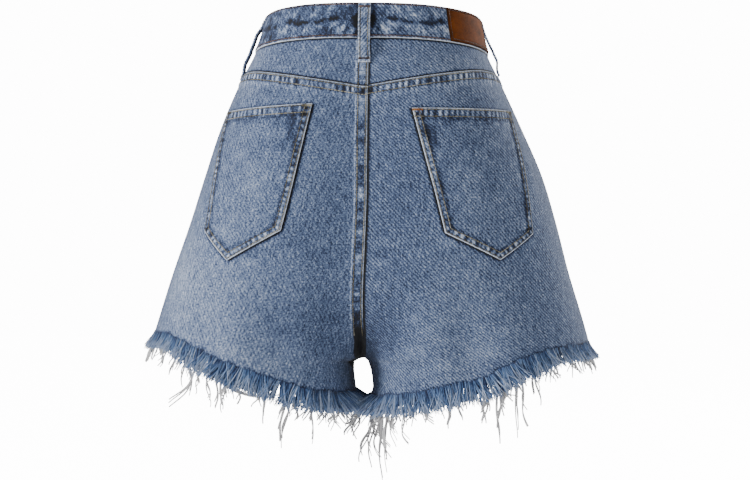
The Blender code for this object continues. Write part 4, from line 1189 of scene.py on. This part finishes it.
def band_wear(side, way, height, wave):
    """Wear of the waistband: rubbed folds, broken dark ropes beside the seams, scratches and blotches."""
    above, below = height + BAND_HALF, BAND_HALF - height
    line = height - 1.0 - 2.6 * mottle(way / 17.0, 0.0, 76)
    dashes = ease((mottle(way / 5.5, 0.0, 75) + 0.6 * mottle(way / 1.9, height / 2.0, 74) + 0.6) / 1.0)
    ropes = mottle(way / 4.6 + 0.25 * height / 5.0, height / 11.0, 79)
    scratch = ease((mottle((way + 0.9 * height) / 2.4, (height - way) / 15.0, 77) - 0.35) / 0.4)
    blotch = mottle(way / 3.4, height / 3.0, 70) + 0.6 * mottle(way / 1.5, height / 1.5, 69)
    low, high = ridge(height, -9.0, 7.0), ridge(height, 9.0, 6.0)
    wear_and_shade = (1.8 * bell(above / 0.62) - 0.7 * bell((above - BAND_ROW - 0.2) / 0.7)
            - 0.75 * dashes * bell(line / (2.2 + 1.2 * mottle(way / 8.0, 0.0, 72)))
            + 0.5 * ropes * low + 0.4 * ropes * high + 0.35 * scratch + 0.26 * blotch
            - 0.14 * high - 0.5 * ridge(below, 0.3, 1.2) + 0.2 * wave * ridge(above, 6.0, 4.0)
            + 0.12 * mottle(way / 17.0, height / 9.0, 78) - BAND_DARK[side])
    beside = LOOP_WIDTH / 2 + (-1.5 if side == LEFT else 1.5) + 1.5  # edge of the loop at the back
    return wear_and_shade - 1.1 * ridge(way, beside, 3.6) * ridge(height, -2.0, 18.0)


def make_waistband():
    """Two halves of the folded waistband, mottled, with a rubbed fold along each edge."""
    heights = np.concatenate((np.linspace(-BAND_HALF, -BAND_HALF + 4.0, 8),
                              np.linspace(-BAND_HALF + 5.0, BAND_HALF - 3.0, 22),
                              np.linspace(BAND_HALF - 2.2, BAND_HALF, 5)))
    for side in (LEFT, RIGHT):
        total = half_length(side, 0.0)
        if side == LEFT:
            ways = np.linspace(SEAM_GAP / 2, total + BAND_LAP, 230)
            under = np.zeros(ways.shape)
            shown = ways[1:-1]
        else:
            step = total - BAND_LAP - GAP
            ways = np.concatenate((np.linspace(SEAM_GAP / 2, step - 3.0, 216),
                                   np.linspace(step, total + BAND_UNDERLAP, 18)))
            under = np.where(ways > step - 0.5, BAND_WALL + GAP, 0.0)
            shown = ways[(ways > 1.0) & (ways < total - BAND_LAP - 2.0)]
        way, height = np.meshgrid(ways, heights, indexing="ij")
        above, below = height + BAND_HALF, BAND_HALF - height
        wave = puckers(way, 71 + side)
        roll = 0.7 * (1.0 - ease(above / 1.6)) + 0.6 * (1.0 - ease(below / 1.6))
        relief = (0.26 * wave * ridge(above, 5.0, 4.0) - 0.3 * ridge(above, BAND_ROW, 0.8)
                  + 0.3 * mottle(way / 12.0, height / 16.0, 73))
        outer, _ = band_place(side, way, height,
                              BAND_PROUD - roll + np.clip(relief, -0.5, 0.6) - under[:, None])
        inner, _ = band_place(side, way, height, BAND_PROUD - BAND_WALL - under[:, None] + 0.35 * roll)
        measure = np.stack((way * side + BAND_SHIFT, height), axis=-1)
        wall_of("waistband_" + SIDE_NAMES[side], outer, inner, band_wear(side, way, height, wave), measure,
                (DENIM[side], DENIM[side]))
        for row in (-BAND_HALF + BAND_ROW, BAND_HALF - BAND_TOP_ROW):
            stitch_row("rust", *band_place(side, shown, np.full(shown.shape, row), BAND_PROUD - 0.15))
    end = np.linspace(-BAND_HALF + 3.0, BAND_HALF - 3.0, 30)
    total = half_length(LEFT, 0.0)
    way = np.full(end.shape, total + BAND_LAP - 2.2)
    stitch_row("rust", *round_laid(LEFT, way, band_line(LEFT, way / total, end), BAND_PROUD - 0.1))


# ---------------------------------------------------------------- pockets
def segment_place(points, start, end):
    """Distance in from a pocket's edge, and along it, for points in the plane of the cloth."""
    run = np.array(end, float) - np.array(start, float)
    length = np.hypot(*run)
    run /= length
    offset = points - np.array(start, float)
    return np.abs(offset[..., 0] * run[1] - offset[..., 1] * run[0]), offset @ run, length


def make_pocket(side):
    """A pointed patch pocket: folded mouth, turned-in border, puckers and worn edges."""
    corners = POCKETS[side]
    order = ("top_in", "top_out", "low_out", "tip", "low_in")
    start, tip, end = (corners[name][0] for name in ("low_in", "tip", "low_out"))
    tip_share = (tip - start) / (end - start)
    fine = np.array(POCKET_FINE)

    def shares(near, count):
        return np.concatenate((near, np.linspace(near[-1], 1.0 - near[-1], count)[1:-1], 1.0 - near[::-1]))

    across = shares(fine, 92)
    across[np.argmin(np.abs(across - tip_share))] = tip_share
    share, fall = np.meshgrid(across, shares(fine * 0.9, 116), indexing="ij")

    def between(first, second, part):
        start, end = np.array(corners[first], float), np.array(corners[second], float)
        return start + (end - start) * part[..., None]

    top = between("top_in", "top_out", share)
    base = np.where((share <= tip_share)[..., None], between("low_in", "tip", share / tip_share),
                    between("tip", "low_out", (share - tip_share) / (1.0 - tip_share)))
    plan = top + (base - top) * fall[..., None]
    dist, z = plan[..., 0], plan[..., 1]

    height, wear_and_shade = np.zeros(dist.shape), np.zeros(dist.shape)
    edge = np.full(dist.shape, 99.0)
    for number, corner in enumerate(order):
        following = order[(number + 1) % len(order)]
        into, along, length = segment_place(plan, corners[corner], corners[following])
        mouth = number == 0
        rows = POCKET_HEM_ROWS if mouth else POCKET_ROWS
        wide = POCKET_HEM if mouth else POCKET_BORDER
        on_it = ease((along + 2.0) / 4.0) * ease((length + 2.0 - along) / 4.0)
        wave = puckers(along, 80 + 5 * number + side) * on_it
        middle = bell((into - sum(rows) / 2) / (0.42 * wide))
        sunk = (ridge(into, rows[0], 0.75) + ridge(into, rows[1], 0.8)) * on_it
        border = (1.0 - ease((into - wide) / 1.4)) * on_it
        strength = 1.0 if mouth or number in (2, 3) else 0.6
        height = np.maximum(height, 0.6 * border) + 0.28 * wave * middle * strength - 0.28 * sunk
        patches = mottle(along / 6.0, into / 5.0, 90 + number + side)
        wear_and_shade = wear_and_shade + on_it * (0.8 * wave * middle * strength - 0.3 * sunk
                               + 0.5 * patches * ridge(into, wide, 5.0)
                               - 0.7 * bell((into - wide - 1.2) / 1.5) * ease(patches + 0.45))
        edge = np.minimum(edge, into)
    rubbed = 1.4 + 0.5 * mottle(dist / 9.0, z / 9.0, 97)
    wear_and_shade = wear_and_shade + rubbed * bell(edge / 0.78)
    # Unfaded corners inside the mouth and along the inner border
    inner_side, run, _ = segment_place(plan, corners["top_in"], corners["low_in"])
    cloud = ease((mottle(dist / 9.0, z / 13.0, 99 + side) + 0.35) / 0.8)
    wear_and_shade = wear_and_shade - 0.5 * cloud * ridge(inner_side, 10.0, 10.0) * ridge(run, 22.0, 52.0)
    # the wash, with painted light and shade
    wear_and_shade = wear_and_shade + wash_and_painted_light(side, BACK, dist, z) + 0.08 * mottle(dist / 22.0, z / 30.0, 95)
    height = height - 0.55 * (1.0 - ease(edge / 0.9))
    outer, _ = laid(side, BACK, dist, z, GAP + POCKET_WALL + height)
    inner, _ = laid(side, BACK, dist, z, GAP)
    measure = cloth_places(side, BACK, dist, z, POCKET_SHIFT)
    wall_of("back_pocket_" + SIDE_NAMES[side], outer, inner, wear_and_shade, measure, (DENIM[side], REVERSE))
    stitch_pocket(side, corners)


def stitch_pocket(side, corners):
    """Two rows round the pocket, two along its mouth, and a bartack at each top corner."""
    names = ("top_in", "low_in", "tip", "low_out", "top_out")
    ring = np.array([corners[name] for name in names], float)
    centre = ring.mean(axis=0)
    for inset in POCKET_ROWS:
        lines = []
        for start, end in zip(ring, ring[1:]):
            run = (end - start) / np.linalg.norm(end - start)
            across = np.array((-run[1], run[0]))
            across *= np.sign((centre - start) @ across)
            lines.append((start + across * inset, run))
        turns = [lines[0][0] + lines[0][1] * 1.5]
        for (first, run), (second, other) in zip(lines, lines[1:]):
            grid = np.array((run, -other)).T
            turns.append(first + run * np.linalg.solve(grid, second - first)[0])
        turns.append(ring[-1] + (lines[-1][0] - ring[-2]) - lines[-1][1] * 1.5)
        lay_row(side, turns, "gold")
    mouth = unit(ring[-1] - ring[0])
    down = np.array((mouth[1], -mouth[0]))
    for inset in POCKET_HEM_ROWS:
        lay_row(side, (ring[0] + mouth * 1.6 + down * inset, ring[-1] - mouth * 1.6 + down * inset), "gold")
    inner_thread = "tan" if side == RIGHT else "gold"
    for corner, sense, thread in ((ring[0], 1.0, inner_thread), (ring[-1], -1.0, "gold")):
        spot = corner + mouth * sense * 5.6 + down * 1.9
        place, outward = laid(side, BACK, spot[:1], spot[1:], GAP + POCKET_WALL + 0.55)
        ahead, _ = laid(side, BACK, spot[:1] + 2.0, spot[1:], GAP + POCKET_WALL + 0.55)
        across = unit((ahead - place)[0])
        bartack(thread, place[0], across, np.cross(outward[0], across), outward[0], 10.5, 2.4)


def lay_row(side, turns, thread):
    """Stitch along straight runs between turning points on a pocket."""
    for start, end in zip(turns, turns[1:]):
        share = np.linspace(0.0, 1.0, 40)[:, None]
        line = np.asarray(start) + (np.asarray(end) - np.asarray(start)) * share
        stitch_on(thread, side, BACK, line[:, 0], line[:, 1], GAP + POCKET_WALL + 0.4)


# ---------------------------------------------------------------- loops, patch, fly and button
def make_loop(name):
    """A belt loop with rubbed edges, tacked down at both ends."""
    loop = dict(zip(LOOP_COLUMNS, LOOPS[name]))
    side, face, dist = loop["side"], loop["face"], loop["dist"]
    length = QUARTERS[side, face].length(0.0)
    way = dist if face == BACK else half_length(side, 0.0) - dist
    top = float(band_line(side, way / half_length(side, 0.0), BAND_HALF - LOOP_INSET))
    height = loop["drop"] + BAND_HALF - LOOP_INSET
    proud = FELL_RAISE if face == BACK else 0.0
    across, share = np.meshgrid(LOOP_STEPS, np.linspace(0.0, 1.0, 64), indexing="ij")
    z = top - height * share
    flare = 1.0 + loop["flare"] * (QUARTERS[side, face].length(z) / length - 1.0)
    at = dist * flare + across * LOOP_WIDTH / 2
    seat = BAND_PROUD + (proud - BAND_PROUD) * ease((share * height - 2 * BAND_HALF + 3.0) / 3.0)
    lift = loop["slack"] * ease((share - 0.06) / (loop["furthest"] - 0.06)) * ease((0.94 - share) / 0.2)
    seam_rows = bell((np.abs(across) - 0.62) / 0.1)
    relief = 0.25 * bell(across / 0.4) - 0.2 * seam_rows - 0.5 * ease((np.abs(across) - 0.86) / 0.14)
    ends = np.minimum(share, 1.0 - share) * height
    relief = relief - 0.5 * (1.0 - ease(ends / 0.9)) - 0.35 * ridge(ends, 3.4, 1.2)
    way = at if face == BACK else half_length(side, z) - at
    outer, outward = round_laid(side, way, z, seat + GAP + lift + LOOP_WALL + relief)
    inner, _ = round_laid(side, way, z, seat + GAP + lift)
    wear_and_shade = (0.62 * bell((np.abs(across) - 0.98) / 0.1) - 0.2 * seam_rows + 0.12
            + 0.26 * mottle(across * 2.0, z / 5.0, 101 + len(name)) + 0.8 * ridge(ends, 0.2, 0.7))
    # the side loops, seen edge-on, are painted darker: painted shade
    if loop["flare"] == 1.0:
        wear_and_shade = wear_and_shade - 0.5
    measure = np.stack((across * LOOP_WIDTH / 2 + LOOP_SHIFT, z), axis=-1)
    wall_of(name, outer, inner, wear_and_shade, measure, (DENIM[side], DENIM[side]))
    for column in LOOP_ROWS:
        stitch_row("gold", outer[column, 4:-4], outward[column, 4:-4], LOOP_STITCH, FINE_LIFT)
    for row in LOOP_TACKS:
        line = outer[1:-1, row]
        stretch = line[-1] - line[0]
        width = np.linalg.norm(stretch)
        run = stretch / width
        facing = outward[len(LOOP_STEPS) // 2, row]
        bartack("rust", line.mean(axis=0), run, np.cross(facing, run), facing, width, 2.0)


def make_patch():
    """The bare leather patch, with a stitched border pressed in a little."""
    ways = np.linspace(PATCH_START, PATCH_START + PATCH_WIDTH, PATCH_COLUMNS)
    heights = np.linspace(-PATCH_HALF_HEIGHT, PATCH_HALF_HEIGHT, PATCH_ROWS)
    way, height = np.meshgrid(ways, heights, indexing="ij")
    edge = np.minimum(np.minimum(way - ways[0], ways[-1] - way), PATCH_HALF_HEIGHT - np.abs(height))
    relief = -0.6 * (1.0 - ease(edge / 1.0)) - 0.25 * ridge(edge, 2.6, 0.8)
    relief = relief + 0.16 * mottle(way / 14.0, height / 12.0, 111)
    outer, outward = band_place(RIGHT, way, height, BAND_PROUD + GAP + PATCH_WALL + relief)
    inner, _ = band_place(RIGHT, way, height, BAND_PROUD + GAP)
    wear_and_shade = -0.3 * bell(edge / 1.2) + 0.1 * mottle(way / 9.0, height / 9.0, 113) + 0.12
    measure = np.stack((way + PATCH_SHIFT, height), axis=-1)
    wall_of("leather_patch", outer, inner, wear_and_shade, measure, (LEATHER, LEATHER))
    inside = slice(3, -3)
    for line in ((inside, 3), (inside, -4), (3, inside), (-4, inside)):
        stitch_row("rust", outer[line], outward[line], PATCH_STITCH, FINE_LIFT)


def make_fly():
    """The underlap behind the fly, the zip's tape, and its teeth."""
    top = float(band_base(LEFT, FRONT, np.array(0.0), np.array(0.0))) - 1.0
    for name, start, end, bottom, depth, wall, finishes in (
            ("zip", -4.0, 18.0, FLY_BOTTOM + 14.0, WALL + 2 * GAP, 1.0, (ZIP_TAPE, ZIP_TAPE)),
            ("fly_shield", -12.0, FLY_WIDTH - 2.0, FLY_BOTTOM, WALL + 3 * GAP + 1.5, WALL,
             (DENIM[RIGHT], REVERSE))):
        across, fall = np.meshgrid(np.linspace(start, end, 24), np.linspace(0.0, 1.0, 90), indexing="ij")
        z = top + (bottom - top) * fall
        way = half_length(LEFT, z) - across
        outer, outward = round_laid(LEFT, way, z, -depth)
        inner, _ = round_laid(LEFT, way, z, -depth - wall)
        wear_and_shade = 0.1 * mottle(across / 8.0, z / 12.0, 121)
        measure = np.stack((across + FLY_SHIFT, z), axis=-1)
        wall_of(name, outer, inner, wear_and_shade, measure, finishes)
        if name == "zip":
            middle = outer.shape[0] // 2
            zip_teeth(inner[middle], outward[middle])


def zip_teeth(line, outward):
    """Closed brass teeth down the inside of the tape: one tooth, repeated from an array."""
    walk = walked(line)
    spots = np.arange(1.0, walk[-1] - 1.0, TOOTH_PITCH)
    centre, inwards = read_along(spots, walk, line), -read_along(spots, walk, outward)
    beside = np.cross(unit(np.gradient(centre, axis=0)), inwards)
    sense = np.where(np.arange(len(spots)) % 2, 1.0, -1.0)
    steps = np.array((-1.4, -0.5, 0.5, 1.4))
    paths = (centre[:, None] + beside[:, None] * (steps[None, :, None] + 0.8 * sense[:, None, None])
             + inwards[:, None] * -0.1)
    radii = np.full(paths.shape[:2], TOOTH_RADIUS)
    yarns("zip_teeth", paths, radii, np.full(radii.shape, 0.5), inwards, BRASS, "brass", sides=6)


def make_button():
    """A turned shank button: a raised rim round a shallow dish with a bead in the middle."""
    z = float(band_line(LEFT, 1.0, 0.0))
    way = np.array([float(half_length(LEFT, z))])
    place, outward = round_laid(LEFT, way, np.array([z]), BAND_PROUD + GAP)
    seat, turn = Vector(place[0]), Vector(outward[0]).to_track_quat("Z", "Y").to_matrix()
    bm = bmesh.new()
    verts = [bm.verts.new((BUTTON_RADIUS * radius, 0.0, BUTTON_THICKNESS * height))
             for radius, height in BUTTON_PROFILE]
    edges = [bm.edges.new(pair) for pair in zip(verts, verts[1:])]
    bmesh.ops.spin(bm, geom=verts + edges, axis=(0, 0, 1), cent=(0, 0, 0), steps=64, angle=2 * math.pi,
                   use_merge=True)
    bmesh.ops.remove_doubles(bm, verts=bm.verts, dist=0.001)
    for vert in bm.verts:
        vert.co = (seat + turn @ vert.co) * MM
    mesh = bpy.data.meshes.new("waist_button_brass")
    bm.to_mesh(mesh)
    bm.free()
    complete(mesh, [BRASS])
    add_piece("waist_button_brass", mesh, ["waist_button"])


# ---------------------------------------------------------------- the frayed hem
def hem_track(side):
    """Round one leg's hem: lengths walked, then points, outward, downward and along directions."""
    track, outs = [], []
    for face in (BACK, FRONT):
        quarter = QUARTERS[side, face]
        shares = np.linspace(0.003, 0.997, HEM_SAMPLES)
        z = settle(lambda dist, z: hem_line(side, face, dist, z),
                   lambda z: quarter.spread(shares, z), np.full(shares.shape, HEM_GUESS))
        place, outward = laid(side, face, quarter.spread(shares, z), z)
        order = slice(None) if face == BACK else slice(None, None, -1)
        track.append(place[order])
        outs.append(outward[order])
    points, outward = np.concatenate(track), np.concatenate(outs)
    along = unit(np.gradient(points, axis=0))
    down = np.cross(along, outward)
    down *= np.where(down[:, 2] < 0.0, 1.0, -1.0)[:, None]
    return walked(points), points, outward, down, along


def at_walk(track, spots):
    """Read a hem track at lengths walked."""
    return [read_along(spots, track[0], values) for values in track[1:]]


def make_fringe(side):
    """Frayed yarns of one leg in layers, clinging in locks, dark at the root and pale at the tip."""
    track = hem_track(side)
    rng = np.random.default_rng(17 + side)
    share = np.linspace(0.0, 1.0, FRINGE_RINGS)
    made = []
    for number, layer in enumerate(entries(LAYER_COLUMNS, LAYERS)):
        count = int(track[0][-1] / layer["spacing"])
        spots = (np.arange(count) + rng.uniform(0.1, 0.9, count)) * layer["spacing"]
        root, outward, down, along = at_walk(track, spots)
        lock = np.floor(spots / LOCK + 0.4 * mottle(spots / 9.0, 0.0, 5 + number))
        lock_lean = 0.22 * mottle(lock * 3.7, 0.0, 7 + side) + 0.15 * mottle(spots / 40.0, 0.0, 8)
        lock_tone = 0.5 * mottle(lock * 2.3, 0.0, 9 + number)
        lock_length = 0.6 * mottle(lock * 5.1, 0.0, 11 + number)
        centre = (lock + 0.5) * LOCK
        shorter = 1.0 - SIDE_SHORTER * ease((np.abs(root[:, 0]) - SIDE_FROM) / SIDE_REACH)
        length = layer["length"] * shorter + layer["uneven"] * (lock_length + rng.uniform(-0.6, 0.6, count))
        lean = lock_lean + rng.normal(0.0, LEAN, count) + np.clip((centre - spots) / length, -0.1, 0.1)
        curl = rng.normal(0.0, CURL, count)
        flare = FLARE + FLARE_STEP * number + rng.normal(0.0, 0.05, count)
        start = root + outward * (layer["out"] - 0.75)
        fall = length[:, None] * share - 1.2
        out = flare[:, None] * length[:, None] * share ** 1.6
        aside = (lean[:, None] * length[:, None] * share ** 1.4
                 + curl[:, None] * np.sin(3.0 * share)[None, :] * share)
        path = (start[:, None] + down[:, None] * fall[..., None] + outward[:, None] * out[..., None]
                + along[:, None] * aside[..., None])
        path[..., 2] -= 0.12 * length[:, None] * share ** 2 * np.abs(lean)[:, None]
        # beside the gap between the legs the yarns of both legs tangle
        to_gap = start[:, 0] - SWAY
        path[..., 0] -= (to_gap * TANGLE * bell(to_gap / TANGLE_REACH))[:, None] * ease(share / 0.45)
        thick = layer["radius"] * rng.uniform(0.75, 1.2, count)[:, None] * (1.0 - TAPER * share ** 2)
        tone = (layer["root_tone"] + (layer["tip_tone"] - layer["root_tone"]) * share ** 0.9)[None, :] + (
            0.34 * lock_tone + rng.normal(0.0, 0.22, count))[:, None]
        made.append((path, thick, np.clip(tone, 0.02, 1.0), outward))
    name = "hem_fringe_" + SIDE_NAMES[side]
    yarns(name + "_frayed", *map(np.concatenate, zip(*made)), BLUE_YARN, nodes=[name])


def hanging_yarns(rng, side, track, share):
    """Long yarns that hang in wisps from the back and front of one hem."""
    made = []
    for rows, first in ((BACK_THREADS[side], 0), (FRONT_THREADS, HEM_SAMPLES)):
        reach = np.abs(track[1][first:first + HEM_SAMPLES, 0])
        for thread in entries(THREAD_COLUMNS, rows):
            near = int(np.argmin(np.abs(reach - thread["x"]))) + first
            root, outward = track[1][near], track[2][near]
            phase = rng.uniform(0.0, 6.28)
            for _ in range(WISP):
                start = root - outward * rng.uniform(*THREAD_INSET) - np.array((0.0, 0.0, THREAD_DROP))
                fall = (start[2] - thread["low_z"]) * rng.uniform(0.55, 1.0)
                beside = side * (rng.uniform(-1.6, 1.6) * (1.0 - share) + rng.uniform(-0.8, 0.8) * share)
                wave = np.sin(phase + rng.uniform(-0.4, 0.4) + 7.0 * share) * share
                path = np.repeat(start[None, :], len(share), axis=0)
                path[:, 2] -= fall * share
                path[:, 0] += beside + side * (thread["aside"] * share ** 1.5 + 1.5 * thread["wave"] * wave)
                path += outward * (np.sin(phase + 3.0 * share) * 1.6 * share + 1.4 * share)[:, None]
                made.append((path, outward))
    return made


def swag_yarns(side, track, share):
    """Yarns that hang in a bow, caught at both ends."""
    made = []
    reach = np.abs(track[1][:HEM_SAMPLES, 0])
    for swag in entries(SWAG_COLUMNS, SWAGS[side]):
        ends = [int(np.argmin(np.abs(reach - swag[key]))) for key in ("x", "to_x")]
        start, end = (track[1][index] - np.array((0.0, 0.0, SWAG_DROP)) for index in ends)
        outward = track[2][ends[0]]
        path = start + (end - start) * share[:, None]
        path[:, 2] -= (path[:, 2].min() - swag["low_z"]) * np.sin(math.pi * share ** 1.15)
        path += outward * (1.5 * np.sin(math.pi * share))[:, None]
        path[:, 1] += 0.6 * np.sin(9.0 * share)
        made.append((path, outward))
    return made


def frizz_yarns(rng, track, share):
    """Short curly yarns all round one hem."""
    spots = rng.uniform(0.0, track[0][-1], FRIZZ)
    root, outward, down, along = at_walk(track, spots)
    lean, curl = rng.normal(0.0, 5.0, FRIZZ), rng.normal(0.0, 3.0, FRIZZ)
    length = rng.uniform(16.0, 30.0, FRIZZ)
    made = []
    for index in range(FRIZZ):
        aside = lean[index] * share ** 2 + curl[index] * np.sin(5.0 * share) * share
        path = (root[index] - outward[index] * 2.2
                + down[index] * (THREAD_DROP + 0.75 * length[index] * share[:, None])
                + along[index] * aside[:, None] + outward[index] * (2.2 * share[:, None]))
        made.append((path, outward[index]))
    return made


def make_threads():
    """Long loose yarns under both hems, some hanging and some caught at both ends."""
    share = np.linspace(0.0, 1.0, THREAD_RINGS)
    rng = np.random.default_rng(5)
    made = []
    for side in (LEFT, RIGHT):
        track = hem_track(side)
        made += hanging_yarns(rng, side, track, share)
        made += swag_yarns(side, track, share)
        made += frizz_yarns(rng, track, share)
    paths, facings = map(np.array, zip(*made))
    count = len(paths)
    taper = (1.0 - 0.5 * share) * (0.3 + 0.7 * ease(share / 0.2))
    radii = rng.uniform(*THREAD_RADII, count)[:, None] * taper
    tone = np.clip(rng.uniform(0.25, 0.75, count)[:, None] + 0.1 * np.sin(9.0 * share), 0.0, 1.0)
    yarns("loose_weft_yarns", paths, radii, tone, facings, PALE_YARN, sides=4)


make_yokes()
make_backs()
make_fronts()
make_waistband()
make_pocket(LEFT)
make_pocket(RIGHT)
for loop_name in LOOPS:
    make_loop(loop_name)
make_patch()
make_fly()
make_button()
make_fringe(LEFT)
make_fringe(RIGHT)
make_threads()
seat_rows()
fly_rows()
sew()

# ---------------------------------------------------------------- floor, light and camera
FLOOR_Z = -0.56
FLOOR_HALF = 6.0
SWEEP_GLOW = 14.0        # the lit sweep as the view sees it
ROOM_LIGHT = 0.24        # soft light from the white room
LIGHT_AIM = (0.0, 0.0, -0.2)
LIGHTS = (               # name, place and size in metres, power in watts
    ("key", (2.45, 1.3, 0.8), 0.8, 84.0),
    ("fill", (-1.6, 2.4, 0.6), 1.2, 18.0),
    ("front_key", (-2.1, -1.9, 0.9), 1.2, 62.0),
)
# The view: level, straight behind and a little to the wearer's left of the centre back
VIEW_AZIMUTH = 185.0
VIEW_DISTANCE = 2.5
VIEW_CENTRE = (-0.0042, 0.0, -0.2121)
IMAGE_WIDTH = 750.0
FOCAL_PIXELS = 2381.0
SENSOR_WIDTH = 36.0


def make_floor():
    """A plain white floor, lit so that the view sees it as white as the room."""
    made, tree, shader = finish("matt white paper", roughness=0.9)
    place = add(tree, "ShaderNodeTexCoord")
    seen = add(tree, "ShaderNodeLightPath")
    glow = add(tree, "ShaderNodeMath", {"operation": "MULTIPLY"}, [(0, seen, "Is Camera Ray")])
    glow.inputs[1].default_value = SWEEP_GLOW
    tree.links.new(glow.outputs["Value"], shader.inputs["Emission Strength"])
    shader.inputs["Emission Color"].default_value = (1.0, 1.0, 1.0, 1.0)
    fibre = noise(tree, place, "Object", Scale=60.0, Detail=2.0)
    paint(tree, shader, fibre, "Fac", ((0.0, "F4F4F4"), (1.0, "FBFBFB")))
    bm = bmesh.new()
    bmesh.ops.create_grid(bm, x_segments=4, y_segments=4, size=FLOOR_HALF)
    mesh = bpy.data.meshes.new("floor")
    bm.to_mesh(mesh)
    bm.free()
    mesh.materials.append(made)
    floor = put("floor", mesh)
    floor.location = (0.0, 0.0, FLOOR_Z)


def make_studio():
    """Soft white surroundings, and square soft lights aimed at the shorts."""
    world = bpy.data.worlds.new("studio")
    bpy.context.scene.world = world
    world.use_nodes = True
    tree = world.node_tree
    around = tree.nodes["Background"]
    around.inputs["Color"].default_value = (1.0, 1.0, 1.0, 1.0)
    seen = add(tree, "ShaderNodeLightPath")
    strength = add(tree, "ShaderNodeMath", {"operation": "MULTIPLY_ADD"}, [(0, seen, "Is Camera Ray")])
    strength.inputs[1].default_value = SWEEP_GLOW - ROOM_LIGHT
    strength.inputs[2].default_value = ROOM_LIGHT
    tree.links.new(strength.outputs["Value"], around.inputs["Strength"])
    for name, place, size, power in LIGHTS:
        light = bpy.data.lights.new(name, "AREA")
        light.shape = "SQUARE"
        light.size = size
        light.energy = power
        made = put(name, light)
        made.location = place
        made.rotation_euler = (Vector(place) - Vector(LIGHT_AIM)).to_track_quat("Z", "Y").to_euler()


def make_camera():
    """The camera behind the shorts."""
    lens = bpy.data.cameras.new("view")
    lens.sensor_width = SENSOR_WIDTH
    lens.lens = FOCAL_PIXELS / IMAGE_WIDTH * SENSOR_WIDTH
    camera = put("view", lens)
    turn = math.radians(VIEW_AZIMUTH)
    away = Vector((math.sin(turn), -math.cos(turn), 0.0))
    camera.location = Vector(VIEW_CENTRE) + away * VIEW_DISTANCE
    camera.rotation_euler = away.to_track_quat("Z", "Y").to_euler()
    bpy.context.scene.camera = camera


make_floor()
make_studio()
make_camera()
